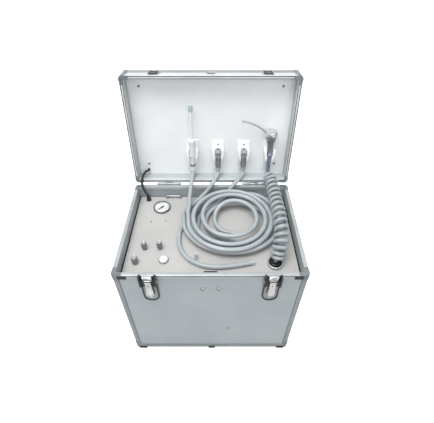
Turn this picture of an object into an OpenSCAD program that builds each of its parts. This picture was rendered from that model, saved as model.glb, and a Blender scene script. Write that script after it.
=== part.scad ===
// Portable dental unit in an aluminium flight case. The open lid carries four instrument holders, and the
// deck in the case carries a pressure gauge, control knobs, coiled hoses and a curly syringe cord.
// Millimetres, +Z up, the front faces -Y, and the origin is under the middle of the opened unit.

/* [Case] */
// Width over the rims
case_w = 390; // [384:1:410]
// Depth over the rims
case_d = 272; // [271:1:290]
// Height of the base rim above the floor
case_h = 327; // [300:1:360]
// Height of the feet under the case
foot_h = 4; // [3:0.5:8]
// Thickness of the laminated panels
panel_t = 5; // [4:0.5:6]
// How far rims and edge trims stand proud of the panels
trim_proud = 1.5; // [1:0.25:2]
// Length of each leg of the edge trims
trim_leg = 13; // [11:0.5:16]
// Radius of the upright corners
corner_r = 8; // [6:0.5:9]
// Width of the rims' flat faces
rim_w = 8.4; // [8:0.1:10]
// Height of the rims
rim_h = 10; // [8:0.5:13]
// Thickness of the web inside the rims
rim_web = 3; // [2:0.5:4]
// Thickness of the corner caps
cap_t = 1; // [0.8:0.1:1.4]
// Length of each leg of the corner caps
cap_leg = 12; // [10:0.5:14]

/* [Lid] */
// Height of the lid
lid_t = 42; // [40:0.5:50]
// How far the opened lid leans back past upright, in degrees
lid_lean = 5.6; // [2:0.2:10]
// Distance of the hinge axis behind the case
hinge_back = 4; // [4:0.25:5]
// Gap left between the rims of the closed case
parting = 0.3; // [0.2:0.05:0.5]
// Thickness of the white liner sheet
liner_t = 1.5; // [1:0.25:2]

/* [Hinges and latches] */
// Distance of each hinge from the middle
hinge_x = 110; // [90:1:130]
// Length of each hinge
hinge_l = 60; // [50:1:80]
// Radius of the hinge knuckles
knuckle_r = 3.2; // [3:0.1:3.4]
// Radius of the hinge pins
pin_r = 1.5; // [1.2:0.1:1.8]
// Distance of each latch from the middle
latch_x = 123; // [110:1:140]
// Width of the latch plates
latch_w = 34; // [32:0.5:40]
// Height of the latch plates
latch_l = 88; // [74:1:94]
// Reach of the latch tongue from its pivot to its tip
tongue_l = 54; // [44:0.5:58]

/* [Deck] */
// Depth of the deck below the rim
deck_recess = 34; // [34:0.5:40]
// Thickness of the deck plate
deck_t = 3; // [2:0.25:4]
// Gap round the deck plate
deck_gap = 3; // [2:0.25:4]
// Diameter of the pressure gauge's bezel
gauge_d = 42.8; // [42:0.2:46]
// Diameter of the two small control knobs
knob_d = 12.6; // [11:0.2:14]
// Diameter of the larger control knob
big_knob_d = 14.6; // [13:0.2:16]
// Height of the control knobs above the deck
knob_h = 21; // [18:0.5:24]
// Radius of the knob shafts
shaft_r = 3; // [2.5:0.1:3.5]
// Diameter of the power button
button_d = 18; // [16:0.5:20]
// Travel of the power button
button_travel = 2.5; // [1:0.25:3]
// Outer diameter of the curly cord's collar
collar_d = 34; // [33:0.5:36]

/* [Instruments] */
// Distance between neighbouring holders
holder_pitch = 64; // [58:1:66]
// Place of the first holder
holder_first = -47.5; // [-52:0.5:-44]
// Height of the holders' seats above the hinge axis
seat_v = 74; // [70:1:80]
// Distance of the instruments' axes in front of the liner
axis_off = 17; // [17:0.25:18]
// Diameter of a handpiece coupling's body
coupling_d = 13; // [12.6:0.1:13.4]
// Width of each holder
holder_w = 28; // [27:0.5:32]

/* [Hoses and cords] */
// Outer diameter of the three hoses
hose_d = 10; // [9:0.1:10]
// Diameter of the curly cord's tube
curl_tube_d = 8.4; // [7.6:0.1:8.4]
// Outer diameter of the curly cord's curls
curl_outer_d = 33; // [30:0.5:33]
// Number of curls in the curly cord
curls = 18; // [14:1:18]
// Diameter of the black lid stay cord
stay_d = 6; // [5:0.25:6]

/* [Hidden] */
$fn = 48;

// Clearance of soft and sliding pieces, and of a shaft in its bore
gap = 0.3;
fit = 0.1;

// Where the panels' inner faces lie, measured in from the rims
seat = trim_proud + panel_t;
half_w = case_w / 2;
inner_x = half_w - seat;
deck_z = case_h - deck_recess;
deck_under = deck_z - deck_t;
floor_z = foot_h + seat;
hinge_y = case_d + hinge_back;
lid_front = hinge_back + case_d;
liner_face = -lid_t + seat + liner_t;
axis_w = liner_face + axis_off;
latch_proud = 10;
back_most = hinge_y + (lid_front + cap_t) * sin(lid_lean) + lid_t * cos(lid_lean);
mid_y = (back_most - latch_proud) / 2;

// Places on the deck, from the middle and the front
gauge_at = [70 - half_w, case_d - 50.5];
knob_left_at = [47 - half_w, 93];
knob_right_at = [81 - half_w, 94];
knob_front_at = [33 - half_w, 55];
button_at = [93 - half_w, 62];
collar_at = [half_w - 58, 52];
stay_at = [32 - half_w, case_d - 21];
pull_at = [96 - half_w, case_d - 13.5];
spout_at = [-32, 66];
handle_y = case_d / 2;
handle_z = 225;
handle_half = 52;
handle_out = 5;
bail_r = 3.5;
bail_drop = 34;

// The lid's own frame has +Y up the opened lid from the hinge axis and +Z out of its open face
function lid_to_case(p) = [
    p[0],
    hinge_y + p[1] * sin(lid_lean) - p[2] * cos(lid_lean),
    case_h + p[1] * cos(lid_lean) + p[2] * sin(lid_lean)
];
function above_deck(p) = p + [0, 0, deck_z];
function holder_x(i) = holder_first + i * holder_pitch;

module at_case() translate([0, -mid_y, 0]) children();
module on_lid() at_case() translate([0, hinge_y, case_h]) rotate([90 - lid_lean, 0, 0]) children();
module on_deck(p) at_case() translate([p[0], p[1], deck_z]) children();
module both_sides(x) for (side = [-1, 1]) translate([side * x, 0, 0]) children();
module at_corners(w, d) for (i = [0, 1], j = [0, 1])
    translate([(i - 0.5) * w, j * d, 0]) mirror([i, 0, 0]) mirror([0, j, 0]) children();
module rod_x(r, l) rotate([0, 90, 0]) cylinder(r = r, h = l, center = true);
module rod_y(r, l) rotate([90, 0, 0]) cylinder(r = r, h = l, center = true);
module turned_up(profile) rotate([-90, 0, 0]) rotate_extrude() polygon(profile);

module rounded_plan(w, d, r) translate([-w / 2, 0]) {
    translate([r, 0]) square([w - 2 * r, d]);
    translate([0, r]) square([w, d - 2 * r]);
    for (x = [r, w - r], y = [r, d - r]) translate([x, y]) circle(r);
}

// ---- Tubes that follow a path ----

function unit(v) = v / norm(v);
function tangent(p, i) = unit(p[min(i + 1, len(p) - 1)] - p[max(i - 1, 0)]);
function carried(u, t) = unit(u - (u * t) * t);
function carry_along(p, u, i = 0) = i == len(p) ? [] :
    let (v = carried(u, tangent(p, i))) concat([v], carry_along(p, v, i + 1));
function path_length(p) = [for (i = [1:len(p) - 1]) norm(p[i] - p[i - 1])] * [for (i = [1:len(p) - 1]) 1];
function gap_to_itself(p, d, apart) =
    min([for (i = [0:len(p) - 1]) for (j = [i + apart:1:len(p) - 1]) norm(p[i] - p[j])]) - d;
function smooth(t) = let (c = max(0, min(1, t))) c * c * (3 - 2 * c);

module tube(p, side, r, sides) {
    n = len(p);
    points = [for (i = [0:n - 1]) let (t = tangent(p, i), u = carried(side[i], t), v = cross(t, u))
        for (k = [0:sides - 1]) p[i] + r * (cos(360 * k / sides) * u + sin(360 * k / sides) * v)];
    walls = [for (i = [0:n - 2]) for (k = [0:sides - 1])
        let (a = i * sides + k, b = i * sides + (k + 1) % sides)
        each [[a, a + sides, b], [b, a + sides, b + sides]]];
    last = (n - 1) * sides;
    ends = [for (k = [1:sides - 2]) each [[0, k, k + 1], [last, last + k + 1, last + k]]];
    polyhedron(points, concat(walls, ends));
}

// ---- Hoses: each has loops in a layer of its own on the deck and a free stretch up to the lid ----

hose_r = hose_d / 2;
loop_rings = 24;
layer_z = hose_r + gap;
layer_step = hose_d + 0.8;

// Each coil's first and last loop as [middle x, middle y, half width, half depth], its turns, its start
// angle, how late it draws in, its layer, its humps and its outward bulges as [turn, size, half length in
// turns], and the turns in which it sinks to the deck at its end
coil_low = [[44, 152, 76, 60], [42, 158, 116, 114], 1.3, 178, 0.8, 0, [], [[1.13, 22, 0.16]], 0];
coil_middle = [[50, 166, 115, 98], [54, 159, 60, 46], 2.2, 178, 1.5, 1, [[0.64, 14, 0.14]], [], 0.35];
coil_high = [[44.5, 158, 98, 91], [52, 170, 38, 36], 3.2, 178, 1.5, 2,
    [[0.75, 10, 0.42], [1.75, 10, 0.42], [2.72, 6, 0.3]], [], 0.45];
coils = [coil_high, coil_middle, coil_low];

function turns(c) = c[2];
function layer_height(c) = c[5] * layer_step;
function swells(list, t) = len(list) == 0 ? 0 :
    [for (s = list) s[1] * smooth(1 - abs(t - s[0]) / s[2])] * [for (s = list) 1];
function sunk(c, t) = c[8] == 0 ? 0 : layer_height(c) * smooth((t - turns(c) + c[8]) / (c[8] - 0.06));
function loop_point(c, u) =
    let (k = c[0] + (c[1] - c[0]) * pow(u, c[4]), t = turns(c) * u, a = c[3] + 360 * t, out = swells(c[7], t))
    [k[0] + (k[2] + out) * cos(a), k[1] + (k[3] + out) * sin(a),
        deck_z + layer_z + layer_height(c) + swells(c[6], t) - sunk(c, t)];
function loops(c) = let (n = round(loop_rings * turns(c))) [for (i = [0:n]) loop_point(c, i / n)];
function with_straight_ends(p, l) = concat(
    [p[0] - l * unit(p[1] - p[0])], p, [p[len(p) - 1] + l * unit(p[len(p) - 1] - p[len(p) - 2])]);
function coil_path(c) = with_straight_ends(loops(c), hose_d);
function coil_start(c) = coil_path(c)[0];
function coil_heading(c) = unit(coil_path(c)[1] - coil_path(c)[0]);
function coil_end(c) = let (p = coil_path(c)) p[len(p) - 1];
function coil_end_heading(c) = let (p = coil_path(c)) unit(p[len(p) - 1] - p[len(p) - 2]);

// Free stretches from the lid down to the coils, as [across, back from the front, above the deck]
suction_route = [[-47.8, 291.5, 57], [-48.5, 285, 53.5], [-50, 276, 51.5], [-51, 266, 47.5], [-52, 254, 43],
    [-53, 240, 38.5], [-54, 226, 34.5], [-54, 212, 31], [-54, 198, 28.2]];
left_route = [[16, 291.5, 56.5], [14, 285, 53], [10, 276, 51.5], [5, 267, 48], [0, 261, 44], [-5, 257, 38],
    [-10, 254, 32], [-16, 249, 27], [-23, 242, 23], [-31, 234, 19.5], [-41, 224, 17.2], [-51, 213, 16.2],
    [-59, 203, 16.1], [-64, 194, 16.1]];
right_route = [[80, 291.5, 56.5], [77, 285, 53], [71, 276, 51.5], [63, 267, 48.5], [56, 261, 44.5],
    [50, 257, 38.5], [45, 254, 32.5], [40, 249, 27.5], [35, 242, 24], [28, 236, 19], [20, 230.5, 14],
    [11, 224.5, 9.5], [1, 217.5, 6.5], [-9, 209, 5.4], [-18, 200, 5.3], [-25, 191, 5.3], [-30, 182.5, 5.3]];
hose_inside = 30;
handle_end_v = [33, 32, 32];

// A hose's free stretch starts inside its instrument and leaves it straight along the instrument's axis
function in_holder(i, bottom, inside) = [for (d = [inside, inside / 2, inside / 10, 0, -2])
    lid_to_case([holder_x(i), bottom + d, axis_w])];
function drop_path(i, stretch, c) = concat(
    in_holder(i, handle_end_v[i], hose_inside), [for (p = stretch) above_deck(p)],
    [coil_start(c) - hose_d * coil_heading(c), coil_start(c)]);
drops = [drop_path(0, suction_route, coil_high), drop_path(1, left_route, coil_middle),
    drop_path(2, right_route, coil_low)];

// ---- Curly cord: a helix round a hand-chosen arch ----

curl_r = (curl_outer_d - curl_tube_d) / 2;
curl_rings = 8;
boss_h = 10;
syringe_bottom = 30;
curl_fade = 2;
curly_inside = 30;
arch = [[137, 52, 19], [140, 58, 29], [145, 68, 42], [149, 84, 53], [151, 106, 61], [151, 130, 64],
    [151, 154, 65], [150, 178, 64], [150, 202, 62], [149, 226, 61], [148, 249, 61], [146, 269, 61.5]];
arch_top = lid_to_case([holder_x(3), syringe_bottom - curl_tube_d, axis_w]);
arch_points = concat([for (p = arch) above_deck(p)], [arch_top]);

function spline(p, s) = let (
        n = len(p) - 1, i = min(floor(s * n), n - 1), f = s * n - i,
        a = p[max(i - 1, 0)], b = p[i], c = p[i + 1], d = p[min(i + 2, n)])
    ((2 * b) + (c - a) * f + (2 * a - 5 * b + 4 * c - d) * f * f + (3 * b - a - 3 * c + d) * f * f * f) / 2;
function curl_swell(s) = smooth(s * curls) * smooth((1 - s) * curls / curl_fade);
function curl_side(s) =
    let (t = unit(spline(arch_points, min(1, s + 0.01)) - spline(arch_points, max(0, s - 0.01))),
        n = carried([1, 0, 0], t), b = cross(t, n), a = 360 * curls * s)
    cos(a) * n + sin(a) * b;
curl_steps = curls * curl_rings;
curly_path = concat(
    [above_deck([collar_at[0], collar_at[1], boss_h])],
    [for (i = [0:curl_steps]) let (s = i / curl_steps)
        spline(arch_points, s) + curl_r * curl_swell(s) * curl_side(s)],
    [for (k = [0, 0.5, 1]) lid_to_case([holder_x(3), syringe_bottom + curly_inside * k, axis_w])]);
curly_sides = concat([curl_side(0)], [for (i = [0:curl_steps]) curl_side(i / curl_steps)],
    [for (k = [0, 1, 2]) curl_side(1)]);

// ---- Lid stay cord ----

stay_gland_h = 9;
stay_route = [[-171, 295, 58], [-176, 284, 55], [-178, 273, 48], [-177, 264, 41],
    [-173, 257, 31], [-167, 252, 21]];
stay_path = concat([for (d = [0, stay_d]) lid_to_case([-165, 24, liner_face + d])],
    [for (p = stay_route) above_deck(p)],
    [for (h = [stay_d, 0]) above_deck([stay_at[0], stay_at[1], stay_gland_h + h])]);

echo(hose_gaps = [for (c = coils) gap_to_itself(coil_path(c), hose_d, 8)]);
echo(curly_gap = gap_to_itself(curly_path, curl_tube_d, 5));
echo(hose_lengths = [for (i = [0:2]) path_length(drops[i]) + path_length(coil_path(coils[i]))]);
echo(curly_length = path_length(curly_path), stay_length = path_length(stay_path));

// ---- Case base ----

// Corner posts and bottom rails of a box that is open at the top
module edge_trims(h) intersection() {
    linear_extrude(h) rounded_plan(case_w, case_d, corner_r);
    union() {
        at_corners(case_w, case_d) {
            cube([trim_leg, trim_proud, h]);
            cube([trim_proud, trim_leg, h]);
            cube([seat, seat, h]);
        }
        for (j = [0, 1]) translate([-half_w, j * case_d, 0]) mirror([0, j, 0]) {
            cube([case_w, trim_proud, trim_leg]);
            cube([case_w, trim_leg, trim_proud]);
            cube([case_w, seat, seat]);
        }
        for (i = [0, 1]) mirror([i, 0, 0]) translate([-half_w, 0, 0]) {
            cube([trim_proud, case_d, trim_leg]);
            cube([trim_leg, case_d, trim_proud]);
            cube([seat, case_d, seat]);
        }
    }
}

// Rim channel with its flat face at the top and a slot below for the panels
module rim_channel() difference() {
    linear_extrude(rim_h) rounded_plan(case_w, case_d, corner_r);
    translate([-half_w + rim_w, rim_w, -1]) cube([case_w - 2 * rim_w, case_d - 2 * rim_w, rim_h + 2]);
    difference() {
        translate([-half_w + trim_proud, trim_proud, -1])
            cube([case_w - 2 * trim_proud, case_d - 2 * trim_proud, rim_h - rim_web + 1]);
        translate([-inner_x, seat, -2]) cube([2 * inner_x, case_d - 2 * seat, rim_h + 2]);
    }
}

// Rounded caps over the outer corners
module caps(h, leg) at_corners(case_w, case_d) intersection() {
    translate([-cap_t, -cap_t, 0]) cube([leg + cap_t, leg + cap_t, h]);
    difference() {
        linear_extrude(h) translate([half_w, -cap_t])
            rounded_plan(case_w + 2 * cap_t, case_d + 2 * cap_t, corner_r + cap_t);
        translate([0, 0, -1]) linear_extrude(h + 2) translate([half_w, 0])
            rounded_plan(case_w, case_d, corner_r);
    }
}

screws_at = [[-16, case_h - 50], [16, case_h - 50], [39, 105]];
inlet_at = [65 - half_w, 62];
inlet_w = 48;
inlet_h = 30;
inlet_deep = 22;

module base_wall_panels() color("#B9BFC0") at_case() difference() {
    h = case_h - rim_web - floor_z;
    union() {
        for (y = [trim_proud, case_d - seat]) translate([-inner_x, y, floor_z])
            cube([2 * inner_x, panel_t, h]);
        both_sides(inner_x + panel_t / 2) translate([-panel_t / 2, seat, floor_z])
            cube([panel_t, case_d - 2 * seat, h]);
    }
    for (p = screws_at) translate([p[0], seat, p[1]]) rod_y(screw_r, 4 * panel_t);
    translate([inlet_at[0] - inlet_w / 2 + 5, case_d - 2 * seat, inlet_at[1] - inlet_h / 2 + 4])
        cube([inlet_w - 10, 3 * seat, inlet_h - 8]);
}

module base_floor() color("#8B9092") at_case()
    translate([-inner_x, seat, foot_h + trim_proud]) cube([2 * inner_x, case_d - 2 * seat, panel_t]);

module base_rim() color("#DADDDD") at_case() translate([0, 0, case_h - rim_h]) rim_channel();

ledge_w = 10;
ledge_t = 3;
module base_edge_trim() color("#A5ACAF") at_case() {
    translate([0, 0, foot_h]) edge_trims(case_h - rim_h - foot_h);
    for (y = [seat, case_d - seat - ledge_w]) translate([-inner_x, y, deck_under - ledge_t])
        cube([2 * inner_x, ledge_w, ledge_t]);
    both_sides(inner_x - ledge_w / 2) translate([-ledge_w / 2, seat + ledge_w, deck_under - ledge_t])
        cube([ledge_w, case_d - 2 * seat - 2 * ledge_w, ledge_t]);
}

cap_h = 16;
low_cap_leg = 9;
module base_corner_caps() color("#9BA1A4") at_case() {
    translate([0, 0, case_h - cap_h - gap]) caps(cap_h, cap_leg);
    translate([0, 0, foot_h]) caps(1.5 * cap_h, low_cap_leg);
}

foot_r = 9;
foot_tab_w = 16;
foot_tab_h = 10;
foot_x = half_w - low_cap_leg - foot_tab_w / 2 - 1;
bumper_w = 27;
block_w = 16;
module feet_and_bumpers() color("#1D1E20") at_case() {
    for (x = [-foot_x, 0, foot_x], j = [0, 1]) translate([x, j * case_d, 0]) mirror([0, j, 0]) {
        translate([0, foot_r, 0]) cylinder(r = foot_r, h = foot_h);
        translate([-foot_tab_w / 2, -cap_t, 0]) cube([foot_tab_w, foot_r + cap_t, foot_h]);
        translate([-foot_tab_w / 2, -cap_t, 0]) cube([foot_tab_w, cap_t, foot_tab_h]);
    }
    translate([-bumper_w / 2, rim_w, case_h - rim_h]) cube([bumper_w, 5, rim_h - 3]);
    both_sides(half_w - cap_leg - 1 - block_w / 2) translate([-block_w / 2, -cap_t, case_h - rim_h + 1])
        cube([block_w, cap_t, rim_h - 2]);
}

screw_r = 2;
module panel_screws() color("#D4D7D8") at_case() for (p = screws_at) translate([p[0], 0, p[1]]) {
    translate([0, trim_proud - 0.75, 0]) rod_y(4, 1.5);
    translate([0, trim_proud + panel_t / 2 + 1, 0]) rod_y(screw_r - fit, panel_t + 2);
}

module power_inlet() color("#202124") at_case() translate([inlet_at[0], case_d - trim_proud, inlet_at[1]])
    difference() {
        union() {
            translate([-inlet_w / 2, 0, -inlet_h / 2]) cube([inlet_w, 2.5, inlet_h]);
            translate([-inlet_w / 2 + 5.5, -inlet_deep, -inlet_h / 2 + 4.5])
                cube([inlet_w - 11, inlet_deep, inlet_h - 9]);
        }
        translate([-12.5, -16, -8]) cube([25, 20, 16]);
    }

// ---- Hinges ----

knuckle_l = hinge_l / 3;
leaf_t = 1.2;
leaf_h = 26;
module knuckle(x) translate([x, 0, 0]) difference() {
    union() {
        rod_x(knuckle_r, knuckle_l - gap);
        translate([-(knuckle_l - gap) / 2, -hinge_back, -knuckle_r])
            cube([knuckle_l - gap, hinge_back, knuckle_r - pin_r - 0.3]);
    }
    rod_x(pin_r + fit, knuckle_l + 1);
}

// The pins are fixed in the base leaves' knuckles and the lid leaves' knuckles turn on them
module hinge_base_leaves() color("#C3C7C9") at_case() both_sides(hinge_x) {
    translate([0, hinge_y, case_h]) {
        for (x = [-knuckle_l, knuckle_l]) knuckle(x);
        rod_x(pin_r, hinge_l + 2);
        for (x = [-knuckle_l, knuckle_l]) translate([x, 0, 0]) rod_x(pin_r + 1, knuckle_l - 2 * gap);
    }
    translate([-hinge_l / 2, case_d, case_h - leaf_h]) cube([hinge_l, leaf_t, leaf_h - knuckle_r]);
    translate([-hinge_l / 2, case_d - trim_proud, case_h - leaf_h])
        cube([hinge_l, trim_proud, leaf_h - rim_h]);
    for (x = [-knuckle_l, knuckle_l]) translate([x - (knuckle_l - gap) / 2, case_d, case_h - knuckle_r - 1])
        cube([knuckle_l - gap, leaf_t, knuckle_r]);
}

module hinge_lid_leaves() color("#C3C7C9") on_lid() both_sides(hinge_x) {
    difference() {
        union() {
            rod_x(knuckle_r, knuckle_l - gap);
            translate([-(knuckle_l - gap) / 2, 0, -knuckle_r])
                cube([knuckle_l - gap, hinge_back, knuckle_r - pin_r - 0.3]);
        }
        rod_x(pin_r + fit, knuckle_l + 1);
    }
    translate([-(knuckle_l - gap) / 2, hinge_back - leaf_t, -knuckle_r - 1])
        cube([knuckle_l - gap, leaf_t, knuckle_r]);
    translate([-hinge_l / 2, hinge_back - leaf_t, -leaf_h]) cube([hinge_l, leaf_t, leaf_h - knuckle_r]);
    translate([-hinge_l / 2, hinge_back, -leaf_h]) cube([hinge_l, trim_proud, leaf_h - rim_h - parting]);
}

// ---- Latches ----

pivot_z = case_h - 12;
pivot_y = -6;
cheek_t = 4;
cheek_l = 40;
tongue_t = 4;
tongue_w = 16;
latch_pin_r = 1.6;
latch_inside = latch_w - 2 * cheek_t;

module latch_outline() {
    translate([-latch_w / 2, latch_w / 2 - latch_l]) square([latch_w, latch_l - latch_w / 2 - 2]);
    translate([0, latch_w / 2 - latch_l]) circle(latch_w / 2);
}

module upright_plate(t) rotate([90, 0, 0]) linear_extrude(t) children();

module latch_plates() color("#3A3D40") at_case() both_sides(latch_x) difference() {
    union() {
        translate([0, 0, case_h]) upright_plate(trim_proud) latch_outline();
        intersection() {
            translate([0, trim_proud, case_h]) upright_plate(trim_proud) latch_outline();
            translate([-latch_w, 0, 0]) cube([2 * latch_w, trim_proud, case_h - rim_h]);
        }
        both_sides(latch_w / 2 - cheek_t / 2) translate([-cheek_t / 2, -9.5, case_h + 8 - cheek_l])
            cube([cheek_t, 9.5, cheek_l]);
        translate([-latch_w / 2, -3.5, case_h + 8 - cheek_l]) cube([latch_w, 3, 8]);
    }
    translate([0, pivot_y, pivot_z]) rod_x(latch_pin_r + fit, 2 * latch_w);
}

module latch_lever(side) color("#E6E8E9") at_case() translate([side * latch_x, pivot_y, pivot_z]) {
    rod_x(4, latch_inside - 2 * gap);
    rod_x(latch_pin_r, latch_w - 1);
    translate([-tongue_w / 2, -tongue_t / 2, tongue_w / 2 - tongue_l])
        cube([tongue_w, tongue_t, tongue_l - tongue_w / 2]);
    translate([0, 0, tongue_w / 2 - tongue_l]) {
        rod_y(tongue_w / 2, tongue_t);
        translate([0, -tongue_t / 2 - 0.4, 0]) rod_y(5, 1);
    }
}
module latch_lever_left() latch_lever(-1);
module latch_lever_right() latch_lever(1);

keeper_w = latch_inside - 1;
module latch_keepers() color("#8F9497") on_lid() {
    both_sides(latch_x) difference() {
        union() {
            translate([-keeper_w / 2, lid_front, -lid_t + 5]) cube([keeper_w, 1, lid_t - 9]);
            translate([-9, lid_front, -26]) cube([18, 2.5, 20]);
            translate([-keeper_w / 2, lid_front - trim_proud, -lid_t + trim_leg + 1])
                cube([keeper_w, trim_proud, lid_t - trim_leg - rim_h - 2]);
        }
        for (w = [-22, -13]) translate([-7.5, lid_front - 1, w]) cube([15, 5, 4.5]);
    }
    translate([0, lid_front + 0.5, -24]) rod_y(9.5, 1);
}

// ---- Carrying handles ----

handle_axis_x = half_w + handle_out;
ear_l = 10;
module handle_brackets() color("#43474A") at_case() for (i = [0, 1], end = [-1, 1]) mirror([i, 0, 0])
    translate([-handle_axis_x, handle_y + end * (handle_half + ear_l / 2), handle_z]) difference() {
        union() {
            rod_y(6.4, ear_l);
            translate([0, -ear_l / 2, -6.4]) cube([handle_out + trim_proud, ear_l, 12.8]);
            translate([handle_out + trim_proud - 3, -12, -20]) cube([3, 24, 40]);
        }
        rod_y(bail_r + fit, 2 * ear_l + 10);
    }

module carry_handle(side) color("#2A2C2E") at_case() translate([side * handle_axis_x, handle_y, handle_z]) {
    for (end = [-1, 1]) {
        translate([0, end * (handle_half + ear_l / 2 - 3), 0]) rod_y(bail_r, ear_l + 2);
        translate([0, end * (handle_half - 5), -bail_drop]) cylinder(r = bail_r, h = bail_drop);
        translate([0, end * (handle_half - 5), 0]) sphere(bail_r);
    }
    translate([0, 0, -bail_drop]) rod_y(6, 2 * handle_half - 10);
}
module carry_handle_left() carry_handle(-1);
module carry_handle_right() carry_handle(1);

// ---- Deck ----

stem_r = 4;
collar_r = shaft_r + 2.2;
module deck_panel() color("#D5D6D4") at_case() difference() {
    translate([-inner_x + deck_gap, seat + deck_gap, deck_under])
        cube([2 * (inner_x - deck_gap), case_d - 2 * seat - 2 * deck_gap, deck_t]);
    translate([0, 0, deck_z]) {
        translate(gauge_at) cylinder(r = gauge_body_r + gap, h = 20, center = true);
        for (p = [knob_left_at, knob_right_at, knob_front_at])
            translate(p) cylinder(r = shaft_r + gap, h = 20, center = true);
        translate(button_at) cylinder(r = button_d / 2 + gap, h = 20, center = true);
        for (p = concat([for (c = coils) elbow_at(c)], [spout_at]))
            translate(p) cylinder(r = post_r + fit, h = 20, center = true);
        for (p = [collar_at, stay_at]) translate(p) cylinder(r = stem_r, h = 20, center = true);
    }
}

module valve_collars() color("#8D9396") {
    for (p = [knob_left_at, knob_right_at, knob_front_at]) on_deck(p) difference() {
        cylinder(r = collar_r, h = 3);
        cylinder(r = shaft_r + fit, h = 20, center = true);
    }
    on_deck(button_at) difference() {
        cylinder(r = button_d / 2 + 1.8, h = 2.5);
        cylinder(r = button_d / 2 + gap, h = 20, center = true);
    }
}

module knob(p, d) color("#7C8184") on_deck(p) {
    translate([0, 0, 3 + gap]) cylinder(r = d / 2, h = knob_h - 3 - gap);
    translate([-0.6, 0, knob_h - 1]) cube([1.2, d / 2 - 1, 1.4]);
    translate([0, 0, -deck_t - 10]) cylinder(r = shaft_r, h = deck_t + 10 + knob_h / 2);
}
module knob_left() knob(knob_left_at, knob_d);
module knob_right() knob(knob_right_at, knob_d);
module knob_front() knob(knob_front_at, big_knob_d);

module power_button() color("#F2F2F0") on_deck(button_at) {
    translate([0, 0, -5]) cylinder(r = button_d / 2, h = 9);
    translate([0, 0, 4]) intersection() {
        cylinder(r = button_d / 2, h = 4);
        translate([0, 0, 3 - button_d]) sphere(button_d);
    }
    translate([0, 0, -15]) cylinder(r = 2.5, h = 12);
}

block_low = [20 - half_w, 42];
block_size = [84, 66, 32];
module valve_manifold() color("#9AA0A3") at_case() difference() {
    translate([block_low[0], block_low[1], deck_under - block_size[2]]) cube(block_size);
    translate([0, 0, deck_under]) {
        for (p = [knob_left_at, knob_right_at, knob_front_at])
            translate(p) cylinder(r = shaft_r + fit, h = 24, center = true);
        translate(button_at) cylinder(r = button_d / 2 + gap, h = 12, center = true);
        translate(button_at) cylinder(r = 2.5 + fit, h = 36, center = true);
    }
}

gauge_body_r = gauge_d / 2 - 1.4;
glass_r = gauge_d / 2 - 1.4;
dial_r = gauge_d / 2 - 2.4;
module gauge_case() color("#2B2D2F") on_deck(gauge_at) difference() {
    union() {
        cylinder(r = gauge_d / 2, h = 6);
        translate([0, 0, -26]) cylinder(r = gauge_body_r, h = 27);
        translate([0, 0, -36]) cylinder(r = 5, h = 11);
    }
    translate([0, 0, 1]) cylinder(r = dial_r, h = 10);
    translate([0, 0, 4.8]) cylinder(r = glass_r, h = 10);
    translate([0, 0, -3]) cylinder(r = needle_r + fit, h = 10);
}

needle_r = 0.8;
module gauge_dial() color("#F4F4F2") on_deck(gauge_at) translate([0, 0, 1]) difference() {
    cylinder(r = dial_r - fit, h = 0.6);
    cylinder(r = needle_r + fit, h = 10, center = true);
}

module gauge_lens() color("#E9F1F3", 0.4) on_deck(gauge_at) translate([0, 0, 4.8])
    cylinder(r = glass_r - fit, h = 1);

module gauge_needle() color("#222426") on_deck(gauge_at) {
    translate([0, 0, -2.5]) cylinder(r = needle_r, h = 6);
    translate([0, 0, 1.9]) cylinder(r = 2, h = 1.6);
    rotate([0, 0, 225]) translate([0, 0, 2.4]) linear_extrude(0.6)
        polygon([[-7, -1], [0, -1.2], [14.5, -0.3], [14.5, 0.3], [0, 1.2], [-7, 1]]);
}

elbow_r = hose_r - 0.2;
elbow_l = 7;
post_r = 3.4;
nut_r = 4.6;
function elbow_at(c) = let (p = coil_end(c) + elbow_l * coil_end_heading(c)) [p[0], p[1]];
spout_h = 18;
// A post through the deck, with its nut above and its lock nut below
module outlet_post(p, top) translate([p[0], p[1], 0]) {
    translate([0, 0, deck_z]) cylinder(r = nut_r, h = 3);
    translate([0, 0, deck_under - 12]) cylinder(r = post_r, h = top - deck_under + 12);
    translate([0, 0, deck_under - 4]) cylinder(r = 7.5, h = 4);
}
module hose_elbows() color("#DADCDC") at_case() {
    for (c = coils) let (e = coil_end(c), h = coil_end_heading(c)) {
        translate(e) rotate([0, 90, atan2(h[1], h[0])])
            cylinder(r1 = elbow_r, r2 = post_r - 0.6, h = elbow_l);
        outlet_post(elbow_at(c), e[2] + post_r);
    }
    outlet_post(spout_at, deck_z + spout_h);
}

module cord_glands() color("#6F7578") {
    on_deck(collar_at) {
        difference() {
            cylinder(r = collar_d / 2, h = 7);
            translate([0, 0, 2]) cylinder(r = collar_d / 2 - 3, h = 10);
        }
        cylinder(r = 6.5, h = boss_h);
        translate([0, 0, -deck_t - 8]) cylinder(r = stem_r - fit, h = deck_t + 9);
        translate([0, 0, -deck_t - 4]) cylinder(r = 8, h = 4, $fn = 6);
    }
    on_deck(stay_at) {
        cylinder(r1 = 6.5, r2 = stay_d / 2 + 1, h = stay_gland_h);
        translate([0, 0, -deck_t - 6]) cylinder(r = stem_r - fit, h = deck_t + 7);
    }
}

module deck_pull() color("#D9DBDC") on_deck(pull_at) {
    both_sides(17) cylinder(r = 2, h = 7);
    both_sides(17) translate([0, 0, 7]) sphere(2);
    both_sides(17) cylinder(r = 3.5, h = 1);
    translate([0, 0, 7]) rod_x(2, 34);
}

// ---- Inside the case ----

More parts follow.
